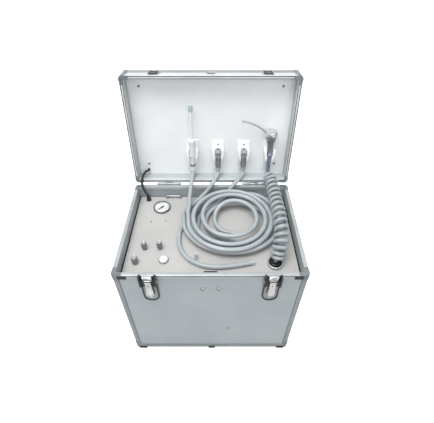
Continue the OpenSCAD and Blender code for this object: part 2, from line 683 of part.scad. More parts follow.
pump_at = [50, case_d - 90];
pump_base = [190, 100, 4];
mount_h = 14;
mount_r = 10;
pump_z = foot_h + seat + mount_h;
motor_r = 42;
module compressor() color("#5E656B") at_case() translate([pump_at[0], pump_at[1], pump_z]) {
    translate([-pump_base[0] / 2, -pump_base[1] / 2, 0]) cube(pump_base);
    translate([-60, -25, 3]) cube([120, 50, 20]);
    translate([0, 0, motor_r + 8]) rod_x(motor_r, 130);
    both_sides(80) {
        translate([-18, -28, 3]) cube([36, 56, motor_r + 40]);
        for (z = [0:3]) translate([-20, -32, motor_r + 46 + 7 * z]) cube([40, 64, 3.5]);
        translate([-14, -24, motor_r + 30]) cube([28, 48, 44]);
    }
}

mounts_apart = [pump_base[0] / 2 - mount_r - 3, pump_base[1] / 2 - mount_r - 2];
module compressor_mounts() color("#1E1F20") at_case() for (i = [-1, 1], j = [-1, 1])
    translate([pump_at[0] + i * mounts_apart[0], pump_at[1] + j * mounts_apart[1], foot_h + seat])
        cylinder(r = mount_r, h = mount_h);

tank_at = [30, 62];
tank_r = 38;
tank_l = 250;
module air_tank() color("#D8DADB") at_case() translate([tank_at[0], tank_at[1], foot_h + seat + tank_r + 6]) {
    rod_x(tank_r, tank_l - 30);
    rod_x(tank_r - 8, tank_l);
    both_sides(80) translate([-8, -30, -tank_r - 6]) cube([16, 60, 20]);
    translate([60, 0, tank_r - 2]) cylinder(r = 8, h = 14);
}

bottle_r = 30;
bottle_h = 140;
shoulder_h = 14;
bottle_cap_r = 18;
bottle_gap = 8.5;
bottle_at = [4 + bottle_gap + bottle_r - inner_x, case_d - trim_proud - inlet_deep - bottle_gap - bottle_r];
module supply_bottles() color("#DDE6EA") at_case() for (k = [0, 1])
    translate([bottle_at[0], bottle_at[1] - k * (2 * bottle_r + 4), foot_h + seat]) {
        cylinder(r = bottle_r, h = bottle_h);
        translate([0, 0, bottle_h]) cylinder(r1 = bottle_r, r2 = bottle_cap_r - 2, h = shoulder_h);
        translate([0, 0, bottle_h + shoulder_h]) cylinder(r = bottle_cap_r, h = 16);
    }

// ---- Lid ----

module lid_panel() color("#B9BFC0") on_lid() translate([-inner_x, hinge_back + seat, -lid_t + trim_proud])
    cube([2 * inner_x, case_d - 2 * seat, panel_t]);

wall_low = -lid_t + seat;
wall_high = -parting - rim_web;
module lid_walls() color("#B9BFC0") on_lid() translate([0, 0, wall_low]) {
    for (v = [hinge_back + trim_proud, lid_front - seat]) translate([-inner_x, v, 0])
        cube([2 * inner_x, panel_t, wall_high - wall_low]);
    both_sides(inner_x + panel_t / 2) translate([-panel_t / 2, hinge_back + seat, 0])
        cube([panel_t, case_d - 2 * seat, wall_high - wall_low]);
}

module lid_rim() color("#DADDDD") on_lid() translate([0, hinge_back, -parting - rim_h]) rim_channel();

module lid_edge_trim() color("#A5ACAF") on_lid() translate([0, hinge_back, -lid_t])
    edge_trims(lid_t - rim_h - parting);

module lid_corner_caps() color("#9BA1A4") on_lid() translate([0, hinge_back, -lid_t])
    caps(lid_t - parting - gap, cap_leg);

module lid_liner() color("#F3F4F4") on_lid() difference() {
    translate([-inner_x, hinge_back + seat, wall_low]) cube([2 * inner_x, case_d - 2 * seat, liner_t]);
    for (p = liner_screws_at) translate([p[0], p[1], wall_low]) cylinder(r = screw_r, h = 20, center = true);
}

screw_head_r = 3.4;
liner_screw_x = holder_x(3) + holder_w / 2 + screw_head_r + 2 * gap;
liner_screws_at = [for (x = [-liner_screw_x, liner_screw_x], v = [hinge_back + 37, lid_front - 33]) [x, v]];
module liner_screws() color("#9A9FA2") on_lid() for (p = liner_screws_at) translate([p[0], p[1], 0]) {
    translate([0, 0, liner_face]) cylinder(r = screw_head_r, h = 1.4);
    translate([0, 0, wall_low]) cylinder(r = screw_r - fit, h = liner_t + 1);
}

// Back plate with a cradle: a slot for the body and a wider seat for the collar
plate_t = 3;
plate_l = 80;
plate_low = seat_v - 46;
cradle_top = 18;
module holder(body_r, seat_r) difference() {
    union() {
        translate([-holder_w / 2, plate_low, liner_face]) cube([holder_w, plate_l, plate_t]);
        translate([0, 0, liner_face + 1]) linear_extrude(axis_off + 6) polygon([
            [-holder_w / 2 + 4, seat_v - 12], [holder_w / 2 - 4, seat_v - 12],
            [holder_w / 2 - 0.5, seat_v + 4], [holder_w / 2 - 0.5, seat_v + cradle_top],
            [-holder_w / 2 + 0.5, seat_v + cradle_top], [-holder_w / 2 + 0.5, seat_v + 4]]);
    }
    translate([0, 0, axis_w]) {
        translate([0, 60, 0]) rotate([-90, 0, 0]) cylinder(r = body_r + gap, h = 60);
        translate([-body_r - gap, 50, 0]) cube([2 * (body_r + gap), 60, 30]);
        translate([0, seat_v, 0]) rotate([-90, 0, 0]) cylinder(r = seat_r + gap, h = 60);
        translate([-seat_r - gap, seat_v, 0]) cube([2 * (seat_r + gap), 60, 30]);
    }
}

syringe_r = curl_tube_d / 2 + 1.1;
body_radii = [7.2, coupling_d / 2, coupling_d / 2, syringe_r];
seat_radii = [8.6, 8, 8, 7.6];
module instrument_holders() color("#FAFAFA") on_lid() for (i = [0:3]) translate([holder_x(i), 0, 0]) {
    holder(body_radii[i], seat_radii[i]);
    translate([0, seat_v + 24, liner_face + plate_t]) cylinder(r = 2.2, h = 1);
}

// ---- Instruments ----

module in_holder_frame(i) on_lid() translate([holder_x(i), 0, axis_w]) children();
rest_v = seat_v + gap;
bore_r = hose_r + gap;
bore_top = handle_end_v[0] + hose_inside + 1;

neck_r = 4.2;
tip_r = 3.1;
valve_v = 112;
module suction_handle() color("#E4E8E6") in_holder_frame(0) turned_up([
    [bore_r, handle_end_v[0]], [7.2, handle_end_v[0]], [7.2, 46], [6.2, 46],
    [6.2, rest_v], [8.6, rest_v], [8.6, valve_v],
    [neck_r, valve_v], [neck_r, valve_v + 12], [tip_r + fit, valve_v + 12], [tip_r + fit, valve_v + 2],
    [0, valve_v + 2], [0, bore_top], [bore_r, bore_top]]);

module suction_lever() color("#FAFAFA") in_holder_frame(0) {
    turned_up([[neck_r + fit, valve_v + gap], [8, valve_v + gap], [9, valve_v + 4], [8, valve_v + 9],
        [neck_r + fit, valve_v + 9]]);
    translate([6.5, valve_v + 3, -2.5]) cube([10.5, 4, 5]);
}

tip_top = 196;
module suction_tip() color("#CFE3DC") in_holder_frame(0) turned_up([
    [2.2, valve_v + 2 + gap], [tip_r, valve_v + 2 + gap], [tip_r, tip_top - 6], [5.2, tip_top - 4],
    [5.2, tip_top + 4], [4, tip_top + 6], [2.2, tip_top + 6]]);

socket_r = 4;
socket_l = 8;
module coupling(i) color("#7B8083") in_holder_frame(i) turned_up([
    [bore_r, handle_end_v[i]], [coupling_d / 2 - 0.6, handle_end_v[i]], [coupling_d / 2, handle_end_v[i] + 2],
    [coupling_d / 2, rest_v], [8, rest_v],
    [8, rest_v + 12], [6, rest_v + 14], [6, rest_v + 18], [socket_r, rest_v + 18],
    [socket_r, rest_v + 18 - socket_l], [0, rest_v + 18 - socket_l], [0, bore_top], [bore_r, bore_top]]);
module coupling_left() coupling(1);
module coupling_right() coupling(2);

cord_bore_r = curl_tube_d / 2 + 0.25;
head_r = 14;
head_v = 142;
nozzle_r = 1.8;
nozzle_v = 127;
nozzle_rise = 38;
button_v = 121;
button_x = 4.6;
pad_r = 3.6;
pad_top = 12.6;
button_press = 1.5;
module syringe_body() color("#A9AEB1") in_holder_frame(3) difference() {
    turned_up([
        [cord_bore_r, syringe_bottom], [syringe_r, syringe_bottom], [syringe_r, rest_v], [7.6, rest_v],
        [7.6, rest_v + 5], [5.8, rest_v + 7], [5.8, 96], [7.3, 113], [12, 126], [head_r, 134],
        [head_r, head_v - 2], [head_r - 2, head_v], [0, head_v], [0, syringe_bottom + curly_inside + 4],
        [cord_bore_r, syringe_bottom + curly_inside + 4]]);
    both_sides(button_x) translate([0, button_v, 2]) cylinder(r = pad_r + fit, h = 20);
    translate([0, nozzle_v, 0]) rotate([0, 0, -nozzle_rise]) translate([-head_r, 0, 0])
        rod_x(nozzle_r + 0.6, 16);
}

// The nozzle leaves the head on its swivel axis and bends flat towards its tip
bend_r = 98;
bend_angle = 31;
nozzle_straight = 30;
module syringe_nozzle() color("#C9CDCF") in_holder_frame(3) translate([0, nozzle_v, 0])
    rotate([0, 0, -nozzle_rise]) {
        translate([-(head_r + 4), 0, 0]) rod_x(nozzle_r + 0.5, 22);
        translate([-(nozzle_straight + 10) / 2, 0, 0]) rod_x(nozzle_r, nozzle_straight - 10);
        translate([-nozzle_straight, -bend_r, 0]) rotate([0, 0, 90])
            rotate_extrude(angle = bend_angle) translate([bend_r, 0]) circle(nozzle_r);
    }

module syringe_button(side) color("#34373A") in_holder_frame(3)
    translate([side * button_x, button_v, 2 + button_press + gap])
        cylinder(r = pad_r, h = pad_top - 2 - button_press - gap);
module syringe_air_button() syringe_button(-1);
module syringe_water_button() syringe_button(1);

// ---- Hose, cord and stay tubes ----

module coil(c) color("#B4BCC1") at_case()
    tube(coil_path(c), [for (q = coil_path(c)) [0, 0, 1]], hose_r, 6);
module suction_coil() coil(coil_high);
module coil_left() coil(coil_middle);
module coil_right() coil(coil_low);

module drop(d) color("#B4BCC1") at_case() tube(d, carry_along(d, [1, 0, 0]), hose_r, 8);
module suction_drop() drop(drops[0]);
module drop_left() drop(drops[1]);
module drop_right() drop(drops[2]);

module curly_cord() color("#8F969A") at_case() tube(curly_path, curly_sides, curl_tube_d / 2, 6);

module lid_stay_cord() color("#1A1B1D") at_case()
    tube(stay_path, carry_along(stay_path, [1, 0, 0]), stay_d / 2, 8);

base_wall_panels();
base_floor();
base_rim();
base_edge_trim();
base_corner_caps();
feet_and_bumpers();
hinge_base_leaves();
latch_plates();
panel_screws();
power_inlet();
handle_brackets();
deck_panel();
valve_collars();
hose_elbows();
cord_glands();
deck_pull();
gauge_case();
gauge_dial();
gauge_lens();
valve_manifold();
compressor();
compressor_mounts();
air_tank();
supply_bottles();
lid_panel();
lid_walls();
lid_rim();
lid_edge_trim();
lid_corner_caps();
lid_liner();
liner_screws();
latch_keepers();
hinge_lid_leaves();
instrument_holders();
suction_handle();
suction_tip();
suction_lever();
coupling_left();
coupling_right();
syringe_body();
syringe_nozzle();
syringe_air_button();
syringe_water_button();
latch_lever_left();
latch_lever_right();
carry_handle_left();
carry_handle_right();
knob_left();
knob_right();
knob_front();
power_button();
gauge_needle();
suction_coil();
coil_left();
coil_right();
suction_drop();
drop_left();
drop_right();
curly_cord();
lid_stay_cord();
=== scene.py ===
"""Portable dental unit in an aluminium flight case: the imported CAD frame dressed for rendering.

Shapes are written in millimetres in the case's frame or the lid's frame, as in the CAD source, and each piece's
place is then put into its mesh in metres.
"""

from math import ceil, cos, floor, pi, radians, sin, tau

import bmesh
import bpy
from mathutils import Matrix, Vector


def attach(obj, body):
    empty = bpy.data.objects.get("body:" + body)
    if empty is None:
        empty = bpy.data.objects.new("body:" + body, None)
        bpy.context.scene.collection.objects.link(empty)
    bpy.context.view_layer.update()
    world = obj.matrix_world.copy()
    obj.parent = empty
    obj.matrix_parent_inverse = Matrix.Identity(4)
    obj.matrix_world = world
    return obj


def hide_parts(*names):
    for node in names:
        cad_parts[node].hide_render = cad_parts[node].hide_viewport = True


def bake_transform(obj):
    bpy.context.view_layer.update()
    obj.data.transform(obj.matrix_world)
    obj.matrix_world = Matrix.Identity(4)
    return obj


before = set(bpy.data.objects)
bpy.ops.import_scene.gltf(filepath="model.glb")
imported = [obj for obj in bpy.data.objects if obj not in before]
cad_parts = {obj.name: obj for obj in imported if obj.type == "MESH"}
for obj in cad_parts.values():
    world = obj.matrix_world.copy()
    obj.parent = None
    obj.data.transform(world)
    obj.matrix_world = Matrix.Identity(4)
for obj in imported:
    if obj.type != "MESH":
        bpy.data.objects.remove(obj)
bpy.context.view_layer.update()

# ---- Sizes shared with the CAD source, in millimetres ----

CASE_W, CASE_D, CASE_H = 390.0, 272.0, 327.0
FOOT_H = 4.0
TRIM_PROUD = 1.5
TRIM_LEG = 13.0
CORNER_R, CAP_T, LATCH_PROUD = 8.0, 1.0, 10.0
RIM_W, RIM_H = 8.4, 10.0
SEAT = 6.5
LID_T = 42.0
LEAN = radians(5.6)
HINGE_BACK = 4.0
PARTING = 0.3
LINER = -34.0
AXIS_W = -17.0
DECK_Z = 293.0
HINGE_Y = CASE_D + HINGE_BACK
LID_FRONT = HINGE_BACK + CASE_D
MID_Y = (HINGE_Y + (LID_FRONT + CAP_T) * sin(LEAN) + LID_T * cos(LEAN) - LATCH_PROUD) / 2
HOLDER_X = [-47.5 + 64 * i for i in range(4)]
MM = 0.001
HERE = Matrix.Identity(4)
link = bpy.context.scene.collection.objects.link


def moved(x, y, z):
    return Matrix.Translation((x, y, z))


def turned(degrees, axis):
    return Matrix.Rotation(radians(degrees), 4, axis)


CASE = Matrix.Scale(MM, 4) @ moved(0, -MID_Y, 0)
LID = CASE @ moved(0, HINGE_Y, CASE_H) @ Matrix.Rotation(radians(90) - LEAN, 4, "X")


def on_deck(x, y):
    """The frame of a fitting on the deck."""
    return CASE @ moved(x, y, DECK_Z)


def in_holder(i):
    """The frame of an instrument: z runs up its axis and -y points out of the lid."""
    return LID @ moved(HOLDER_X[i], 0, AXIS_W) @ turned(-90, "X")


def lid_to_case(x, v, w):
    """A place in the lid's frame, given in the case's."""
    return Vector((x, HINGE_Y + v * sin(LEAN) - w * cos(LEAN), CASE_H + v * cos(LEAN) + w * sin(LEAN)))


# ---- Camera ----

FOCAL_PX = 321.0
PHOTO_W, PHOTO_H = 434, 423
CENTRE_PX = (215.5, 187.0)
PITCH_DOWN = radians(41.1)
CAMERA_AT = Vector((10, -357, 868))

lens = bpy.data.cameras.new("camera")
lens.sensor_width = 36.0
lens.lens = lens.sensor_width * FOCAL_PX / PHOTO_W
lens.shift_x = (PHOTO_W / 2 - CENTRE_PX[0]) / PHOTO_W
lens.shift_y = (CENTRE_PX[1] - PHOTO_H / 2) / PHOTO_W
lens.clip_start, lens.clip_end = 0.05, 30
camera = bpy.data.objects.new("camera", lens)
camera.location = CASE @ CAMERA_AT
camera.rotation_euler = (pi / 2 - PITCH_DOWN, 0, 0)
link(camera)
bpy.context.scene.camera = camera


# ---- Mesh tools ----


def sweep(bm, points, radius, sides):
    """A round tube along points, with capped ends."""
    side = Vector((0.1, 0.2, 1))
    turns = [tau * k / sides for k in range(sides)]
    rings = []
    for i, point in enumerate(points):
        along = (points[min(i + 1, len(points) - 1)] - points[max(i - 1, 0)]).normalized()
        side = (side - side.dot(along) * along).normalized()
        across = along.cross(side)
        rings.append([bm.verts.new(point + radius * (cos(t) * side + sin(t) * across)) for t in turns])
    for near, far in zip(rings, rings[1:]):
        for k in range(sides):
            bm.faces.new((near[k], near[(k + 1) % sides], far[(k + 1) % sides], far[k]))
    bm.faces.new(reversed(rings[0]))
    bm.faces.new(rings[-1])


def lathe(bm, profile, steps=48, place=HERE):
    """Turns a profile of (radius, height) points; a point on the axis closes the end."""
    rings = []
    for r, z in profile:
        if r < 1e-6:
            rings.append([bm.verts.new(place @ Vector((0, 0, z)))])
        else:
            rings.append([bm.verts.new(place @ Vector((r * cos(tau * k / steps), r * sin(tau * k / steps), z)))
                          for k in range(steps)])
    for near, far in zip(rings, rings[1:]):
        for k in range(steps):
            n = k + 1
            corners = [near[k % len(near)], near[n % len(near)], far[n % len(far)], far[k % len(far)]]
            corners = list(dict.fromkeys(corners))
            if len(corners) > 2:
                bm.faces.new(corners)


def block(bm, low, high, place=HERE):
    """A box between two opposite corners."""
    size = Vector(high) - Vector(low)
    middle = (Vector(high) + Vector(low)) / 2
    bmesh.ops.create_cube(bm, size=1, matrix=place @ Matrix.Translation(middle) @ Matrix.Diagonal((*size, 1)))


def slab(bm, outline, low, high, place=HERE):
    """A flat piece: a closed outline of (x, y) points between two heights."""
    lower = [bm.verts.new(place @ Vector((x, y, low))) for x, y in outline]
    upper = [bm.verts.new(place @ Vector((x, y, high))) for x, y in outline]
    for k in range(len(outline)):
        n = (k + 1) % len(outline)
        bm.faces.new((lower[k], lower[n], upper[n], upper[k]))
    bm.faces.new(reversed(lower))
    bm.faces.new(upper)


def rounded(w, h, r, steps, middle_y):
    """Outline of a rounded rectangle, counter-clockwise."""
    points = []
    for k, (sx, sy) in enumerate(((1, 1), (-1, 1), (-1, -1), (1, -1))):
        for j in range(steps + 1):
            a = radians(90 * k + 90 * j / steps)
            points.append((sx * (w / 2 - r) + r * cos(a), middle_y + sy * (h / 2 - r) + r * sin(a)))
    return points


def frame_sweep(bm, profile, w, d, r, dark):
    """A closed profile of (inset, height) points carried round a rounded rectangle; the sides listed in dark get
    the piece's second finish."""
    loops = []
    for inset, z in profile:
        outline = rounded(w - 2 * inset, d - 2 * inset, max(r - inset, 0.15), 8, d / 2)
        loops.append([bm.verts.new(Vector((x, y, z))) for x, y in outline])
    for i, near in enumerate(loops):
        far = loops[(i + 1) % len(loops)]
        for k in range(len(near)):
            n = (k + 1) % len(near)
            bm.faces.new((near[k], near[n], far[n], far[k])).material_index = 1 if i in dark else 0


def tinted(bm, index, tool, *arguments, **options):
    """Runs a mesh tool and gives the faces it makes the piece's finish with this index."""
    before = set(bm.faces)
    tool(bm, *arguments, **options)
    for face in bm.faces:
        if face not in before:
            face.material_index = index


def merge(bm, other):
    """Adds a second mesh under construction to the first and frees it."""
    mesh = bpy.data.meshes.new("merged")
    other.to_mesh(mesh)
    other.free()
    bm.from_mesh(mesh)
    bpy.data.meshes.remove(mesh)


def rod(bm, start, end, radius, sides=24):
    sweep(bm, [Vector(start), Vector(end)], radius, sides)


def screw_head(bm, radius, height, place):
    """A domed head with a cross recess, which shows as two dark bars of painted shade."""
    lathe(bm, [(0, -0.3), (radius, -0.3), (radius, 0.35 * height), (0.8 * radius, 0.8 * height),
               (0.35 * radius, height), (0, height)], 24, place)
    for w, d in ((1.25 * radius, 0.3 * radius), (0.3 * radius, 1.25 * radius)):
        tinted(bm, 1, block, (-w / 2, -d / 2, 0.5 * height), (w / 2, d / 2, height + 0.04), place)


# Edges from these angles on are rounded, and shaded as sharp
SOFTEN_FROM, SHARP_FROM = 28, 32


def soften(bm, width, segments=2):
    """Rounds the sharper edges."""
    edges = [e for e in bm.edges if len(e.link_faces) == 2 and e.calc_face_angle(0) > radians(SOFTEN_FROM)]
    bmesh.ops.bevel(bm, geom=edges, offset=width, segments=segments, profile=0.5, affect="EDGES",
                    clamp_overlap=True)


def piece(bm, name, finish, body, place=CASE, replaces=(), outward=True):
    """Makes the object, puts its place in its mesh and lets it ride on its body."""
    bmesh.ops.remove_doubles(bm, verts=bm.verts, dist=1e-4 if place is not None else 1e-7)
    if outward:
        bmesh.ops.recalc_face_normals(bm, faces=bm.faces)
    if place is not None:
        bm.transform(place)
    mesh = bpy.data.meshes.new(name)
    bm.to_mesh(mesh)
    bm.free()
    for face in mesh.polygons:
        face.use_smooth = True
    mesh.set_sharp_from_angle(angle=radians(SHARP_FROM))
    for each in finish if isinstance(finish, tuple) else (finish,):
        mesh.materials.append(each)
    made = bpy.data.objects.new(name, mesh)
    link(made)
    if body:
        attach(made, body)
    if replaces:
        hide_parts(*replaces)
    return made


def softened_node(node, finish, body, width):
    """A copy of a CAD node with rounded edges, which stands for it."""
    bm = bmesh.new()
    bm.from_mesh(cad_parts[node].data)
    bmesh.ops.remove_doubles(bm, verts=bm.verts, dist=2e-6)
    bmesh.ops.dissolve_limit(bm, angle_limit=radians(0.5), verts=bm.verts, edges=bm.edges)
    soften(bm, width * MM)
    piece(bm, node + "_finished", finish, body, place=None, replaces=(node,), outward=False)


# ---- Materials ----


def linear(code, alpha=1.0):
    """An sRGB hex colour as linear values."""
    parts = [int(code[i:i + 2], 16) / 255 for i in (1, 3, 5)]
    return (*[c / 12.92 if c <= 0.04045 else ((c + 0.055) / 1.055) ** 2.4 for c in parts], alpha)


def add(tree, kind, sockets=(), **settings):
    """Adds a node, sets its properties, and fills or links its inputs."""
    made = tree.nodes.new(kind)
    for name, value in settings.items():
        setattr(made, name, value)
    for name, value in dict(sockets).items():
        if isinstance(value, bpy.types.NodeSocket):
            tree.links.new(value, made.inputs[name])
        else:
            made.inputs[name].default_value = value
    return made


def arc_of_blocks_tree():
    """Geometry nodes: equal blocks stand on an arc round z, each turned outwards and leaned by one angle."""
    tree = bpy.data.node_groups.new("arc of blocks", "GeometryNodeTree")
    tree.interface.new_socket("Geometry", in_out="INPUT", socket_type="NodeSocketGeometry")
    for name, kind in (("Count", "Int"), ("Radius", "Float"), ("Block", "Vector"), ("Height", "Float"),
                       ("First angle", "Float"), ("Step", "Float"), ("Lean", "Float"), ("Finish", "Material")):
        tree.interface.new_socket(name, in_out="INPUT", socket_type="NodeSocket" + kind)
    tree.interface.new_socket("Geometry", in_out="OUTPUT", socket_type="NodeSocketGeometry")
    given = add(tree, "NodeGroupInput").outputs

    def sum_of(operation, a, b=None):
        return add(tree, "ShaderNodeMath", {0: a} if b is None else {0: a, 1: b}, operation=operation).outputs[0]

    place_in_row = add(tree, "GeometryNodeInputIndex").outputs[0]
    angle = sum_of("ADD", sum_of("MULTIPLY", place_in_row, given["Step"]), given["First angle"])
    spot = add(tree, "ShaderNodeCombineXYZ", {
        "X": sum_of("MULTIPLY", sum_of("COSINE", angle), given["Radius"]),
        "Y": sum_of("MULTIPLY", sum_of("SINE", angle), given["Radius"]), "Z": given["Height"]})
    points = add(tree, "GeometryNodePoints", {"Count": given["Count"], "Position": spot.outputs[0]})
    turn = add(tree, "ShaderNodeCombineXYZ", {"Y": given["Lean"], "Z": angle})
    cube = add(tree, "GeometryNodeMeshCube", {"Size": given["Block"]})
    copies = add(tree, "GeometryNodeInstanceOnPoints", {
        "Points": points.outputs[0], "Instance": cube.outputs[0], "Rotation": turn.outputs[0]})
    solid = add(tree, "GeometryNodeRealizeInstances", {"Geometry": copies.outputs[0]})
    coated = add(tree, "GeometryNodeSetMaterial", {"Geometry": solid.outputs[0], "Material": given["Finish"]})
    add(tree, "NodeGroupOutput", {"Geometry": coated.outputs[0]})
    return tree


ARC_OF_BLOCKS = arc_of_blocks_tree()


def arc_of_blocks(bm, finish, count, radius, size, height, first=0.0, step=None, lean=0.0):
    """Adds the node group's blocks to the mesh; sizes are in millimetres and angles in degrees."""
    carrier = bpy.data.objects.new("arc of blocks", bpy.data.meshes.new("arc of blocks"))
    link(carrier)
    modifier = carrier.modifiers.new("arc of blocks", "NODES")
    modifier.node_group = ARC_OF_BLOCKS
    values = {"Count": count, "Radius": float(radius), "Block": [float(k) for k in size], "Height": float(height),
              "First angle": radians(first), "Step": radians(step or 360 / count), "Lean": radians(lean),
              "Finish": finish}
    for item in ARC_OF_BLOCKS.interface.items_tree:
        if item.in_out == "INPUT" and item.name in values:
            modifier[item.identifier] = values[item.name]
    bpy.context.view_layer.update()
    mesh = bpy.data.meshes.new_from_object(carrier.evaluated_get(bpy.context.evaluated_depsgraph_get()))
    carrier.modifiers.clear()
    bpy.data.objects.remove(carrier)
    bm.from_mesh(mesh)
    bpy.data.meshes.remove(mesh)


def surface(name, colour, roughness, tone, patch_mm, grain_mm, bump_mm, rough_spread=0.08, **sockets):
    """A finish whose colour drifts towards tone in soft patches, with a fine grain in its gloss and relief."""
    made = bpy.data.materials.new(name)
    made.use_nodes = True
    tree = made.node_tree
    shader = tree.nodes["Principled BSDF"]
    where = add(tree, "ShaderNodeTexCoord").outputs["Object"]
    patches = add(tree, "ShaderNodeTexNoise", {
        "Vector": where, "Scale": 1000 / patch_mm, "Detail": 3.0, "Roughness": 0.55})
    grain = add(tree, "ShaderNodeTexNoise", {"Vector": where, "Scale": 1000 / grain_mm, "Detail": 2.0})
    share = add(tree, "ShaderNodeMapRange", {"Value": patches.outputs["Fac"], "From Min": 0.35, "From Max": 0.68})
    mixed = add(tree, "ShaderNodeMix", {0: share.outputs[0], 6: linear(colour), 7: linear(tone)},
                data_type="RGBA")
    gloss = add(tree, "ShaderNodeMapRange", {
        "Value": grain.outputs["Fac"], "From Min": 0.3, "From Max": 0.7,
        "To Min": max(roughness - rough_spread, 0.02), "To Max": roughness + rough_spread})
    relief = add(tree, "ShaderNodeBump", {
        "Height": grain.outputs["Fac"], "Distance": bump_mm * MM, "Strength": 1.0})
    for output, socket in ((mixed.outputs[2], "Base Color"), (gloss.outputs[0], "Roughness"),
                           (relief.outputs[0], "Normal")):
        tree.links.new(output, shader.inputs[socket])
    for socket, value in sockets.items():
        shader.inputs[socket.replace("_", " ")].default_value = value
    return made


# Aluminium laminate: rolled sheet over board, satin and faintly pebbled, soft blue grey, paler on the lid
# One sheet in two tones: the case's is painted darker as shade, the lid's, facing the overhead light, paler as
# painted light
laminate = surface("laminated aluminium sheet painted with shade", "#A0A8AC", 0.48, "#A8AFB2", 120, 0.9, 0.012, Metallic=0.15)
lit_lid_laminate = surface("lid sheet painted paler with light", "#C0C6C9", 0.48, "#C6CBCD", 120, 0.9, 0.012, Metallic=0.15)
# Anodised extrusion: drawn metal with an even sheen that frames the sheets; the rims are painted brighter as
# light
extrusion = surface("anodised aluminium extrusion", "#90979A", 0.4, "#80878B", 40, 0.35, 0.01, Metallic=0.3)
rim_metal = surface("satin anodised rim painted lighter", "#ACB1B3", 0.38, "#A0A5A8", 50, 0.3, 0.008, 0.07, Metallic=0.3)
# The lid's rim, facing the overhead light, is painted paler still as light
lit_lid_rim_metal = surface("satin anodised lid rim painted lighter still", "#CDD1D3", 0.38, "#BFC4C6", 50, 0.3, 0.008, 0.07, Metallic=0.3)
# Painted shade in grooves, gaps and recesses, and other fine dark lines: matt near black
shade_and_line_black = surface("painted groove shade and dark lines", "#1C1E20", 0.6, "#141617", 12, 0.3, 0.01)
# Pressed and plated steel: smoother, with clouded patches; corners darker than hinges and keepers
pressed_steel = surface("plated pressed steel", "#A7ADB0", 0.34, "#8E9497", 14, 0.5, 0.012, 0.1, Metallic=0.5)
cap_steel = surface("pressed corner steel", "#6E7478", 0.3, "#868C90", 16, 0.5, 0.01, 0.1, Metallic=0.45)
keeper_grey = surface("pressed keeper steel", "#A3A8AA", 0.32, "#8D9294", 10, 0.4, 0.01, Metallic=0.4)
# Latches: near black cheeks between a satin plate and a mirror-like lever
dark_plate = surface("dark plated steel", "#25282A", 0.34, "#1C1F21", 10, 0.4, 0.01, 0.1, Metallic=0.3)
latch_silver = surface("satin latch plate", "#959B9E", 0.36, "#868C8F", 18, 0.3, 0.006, Metallic=0.35)
latch_chrome = surface("polished latch lever", "#DADBDA", 0.2, "#C2C4C3", 12, 0.5, 0.004, 0.06, Metallic=0.5)
bright_screw = surface("polished screw heads", "#DADDDE", 0.2, "#BFC3C5", 5, 0.4, 0.004, 0.05, Metallic=0.6)
# Instruments: clear highlights on chrome, softer ones on drawn steel, a blue cast on the stem, dull knurls
chrome = surface("chrome plating", "#E4E7E9", 0.1, "#CFD4D7", 8, 0.5, 0.003, 0.04, Metallic=1.0)
nozzle_steel = surface("drawn nozzle steel", "#A4A8AA", 0.25, "#8E9294", 8, 0.4, 0.004, 0.06, Metallic=0.6)
stem_steel = surface("blue grey stem", "#9299A6", 0.26, "#7F8794", 9, 0.4, 0.004, 0.06, Metallic=0.5)
funnel_grey = surface("knurled grey funnel", "#8B8F91", 0.36, "#777B7E", 7, 0.3, 0.01, Metallic=0.4)
coupling_metal = surface("turned connector metal", "#B2B8BA", 0.3, "#A0A6A8", 6, 0.25, 0.005, Metallic=0.2)
# Gauge bezel: darker brushed ring round the white dial
bezel_steel = surface("brushed gauge bezel", "#7A7F81", 0.28, "#666B6D", 8, 0.3, 0.005, 0.06, Metallic=0.6)
# Black fittings: rubber dull, plastic with a low sheen; a black without any gloss paints the shade in the deck's
# gaps
black_rubber = surface("moulded black rubber", "#1B1C1E", 0.62, "#26282B", 6, 0.25, 0.02, 0.1)
gap_shade_black = surface("black strip of painted gap shade", "#0F1011", 0.9, "#17191A", 5, 0.8, 0.05, 0.05)
black_plastic = surface("moulded black plastic", "#222426", 0.42, "#2B2E30", 8, 0.3, 0.012)
# Deck: warm matt paint under darker and paler turned fittings
deck_paint = surface("warm grey powder coat", "#B8B7B5", 0.5, "#B1B0AF", 90, 0.5, 0.014)
dark_metal = surface("turned dark metal", "#7B8285", 0.34, "#6A7174", 6, 0.25, 0.004, Metallic=0.5)
collar_grey = surface("pale turned collar", "#B6BBBD", 0.32, "#A3A9AB", 12, 0.25, 0.004, Metallic=0.4)
# White and pale inside of the lid: the brightest surfaces, softly glossy, with a greyer lining
white_plastic = surface("white injection moulding", "#F4F5F5", 0.32, "#ECEEEF", 20, 0.5, 0.006, 0.05)
liner_white = surface("white liner sheet", "#EFF2F3", 0.42, "#E6E9EA", 110, 0.8, 0.008, 0.05)
lining_grey = surface("pale lid lining", "#B4B9BB", 0.45, "#A8ADB0", 60, 0.6, 0.008, 0.06)
dial_white = surface("printed dial ground", "#F6F6F4", 0.5, "#EFEFEC", 20, 0.3, 0.002, 0.04)
# Knobs: mid grey mouldings, darker where ribbed, with a pale cap
knob_grey = surface("smooth knob moulding", "#85878B", 0.4, "#7A7C80", 5, 0.3, 0.01)
knob_dark = surface("ribbed knob moulding", "#5C6163", 0.42, "#4E5355", 5, 0.3, 0.012)
knob_cap = surface("pale knob cap", "#A2A6A7", 0.34, "#969A9B", 5, 0.3, 0.006, 0.06)
# Silicone: soft sheen, faint drift of tone along the hose, a little light passes into it
elbow_grey = surface("pale grey hose ends", "#B9BEC0", 0.34, "#A9AFB2", 8, 0.3, 0.006, 0.06)
silicone = surface("pale grey silicone hose", "#A9B0B4", 0.36, "#9CA4A8", 30, 0.5, 0.01, Subsurface_Weight=0.06)
curly_tubing = surface("grey curly tubing", "#A2A9AD", 0.38, "#92999D", 14, 0.4, 0.008)
# Braided stay: rough black with almost no highlight
stay_braid = surface("black braided cord", "#17181A", 0.6, "#222426", 3, 0.6, 0.06, 0.1)
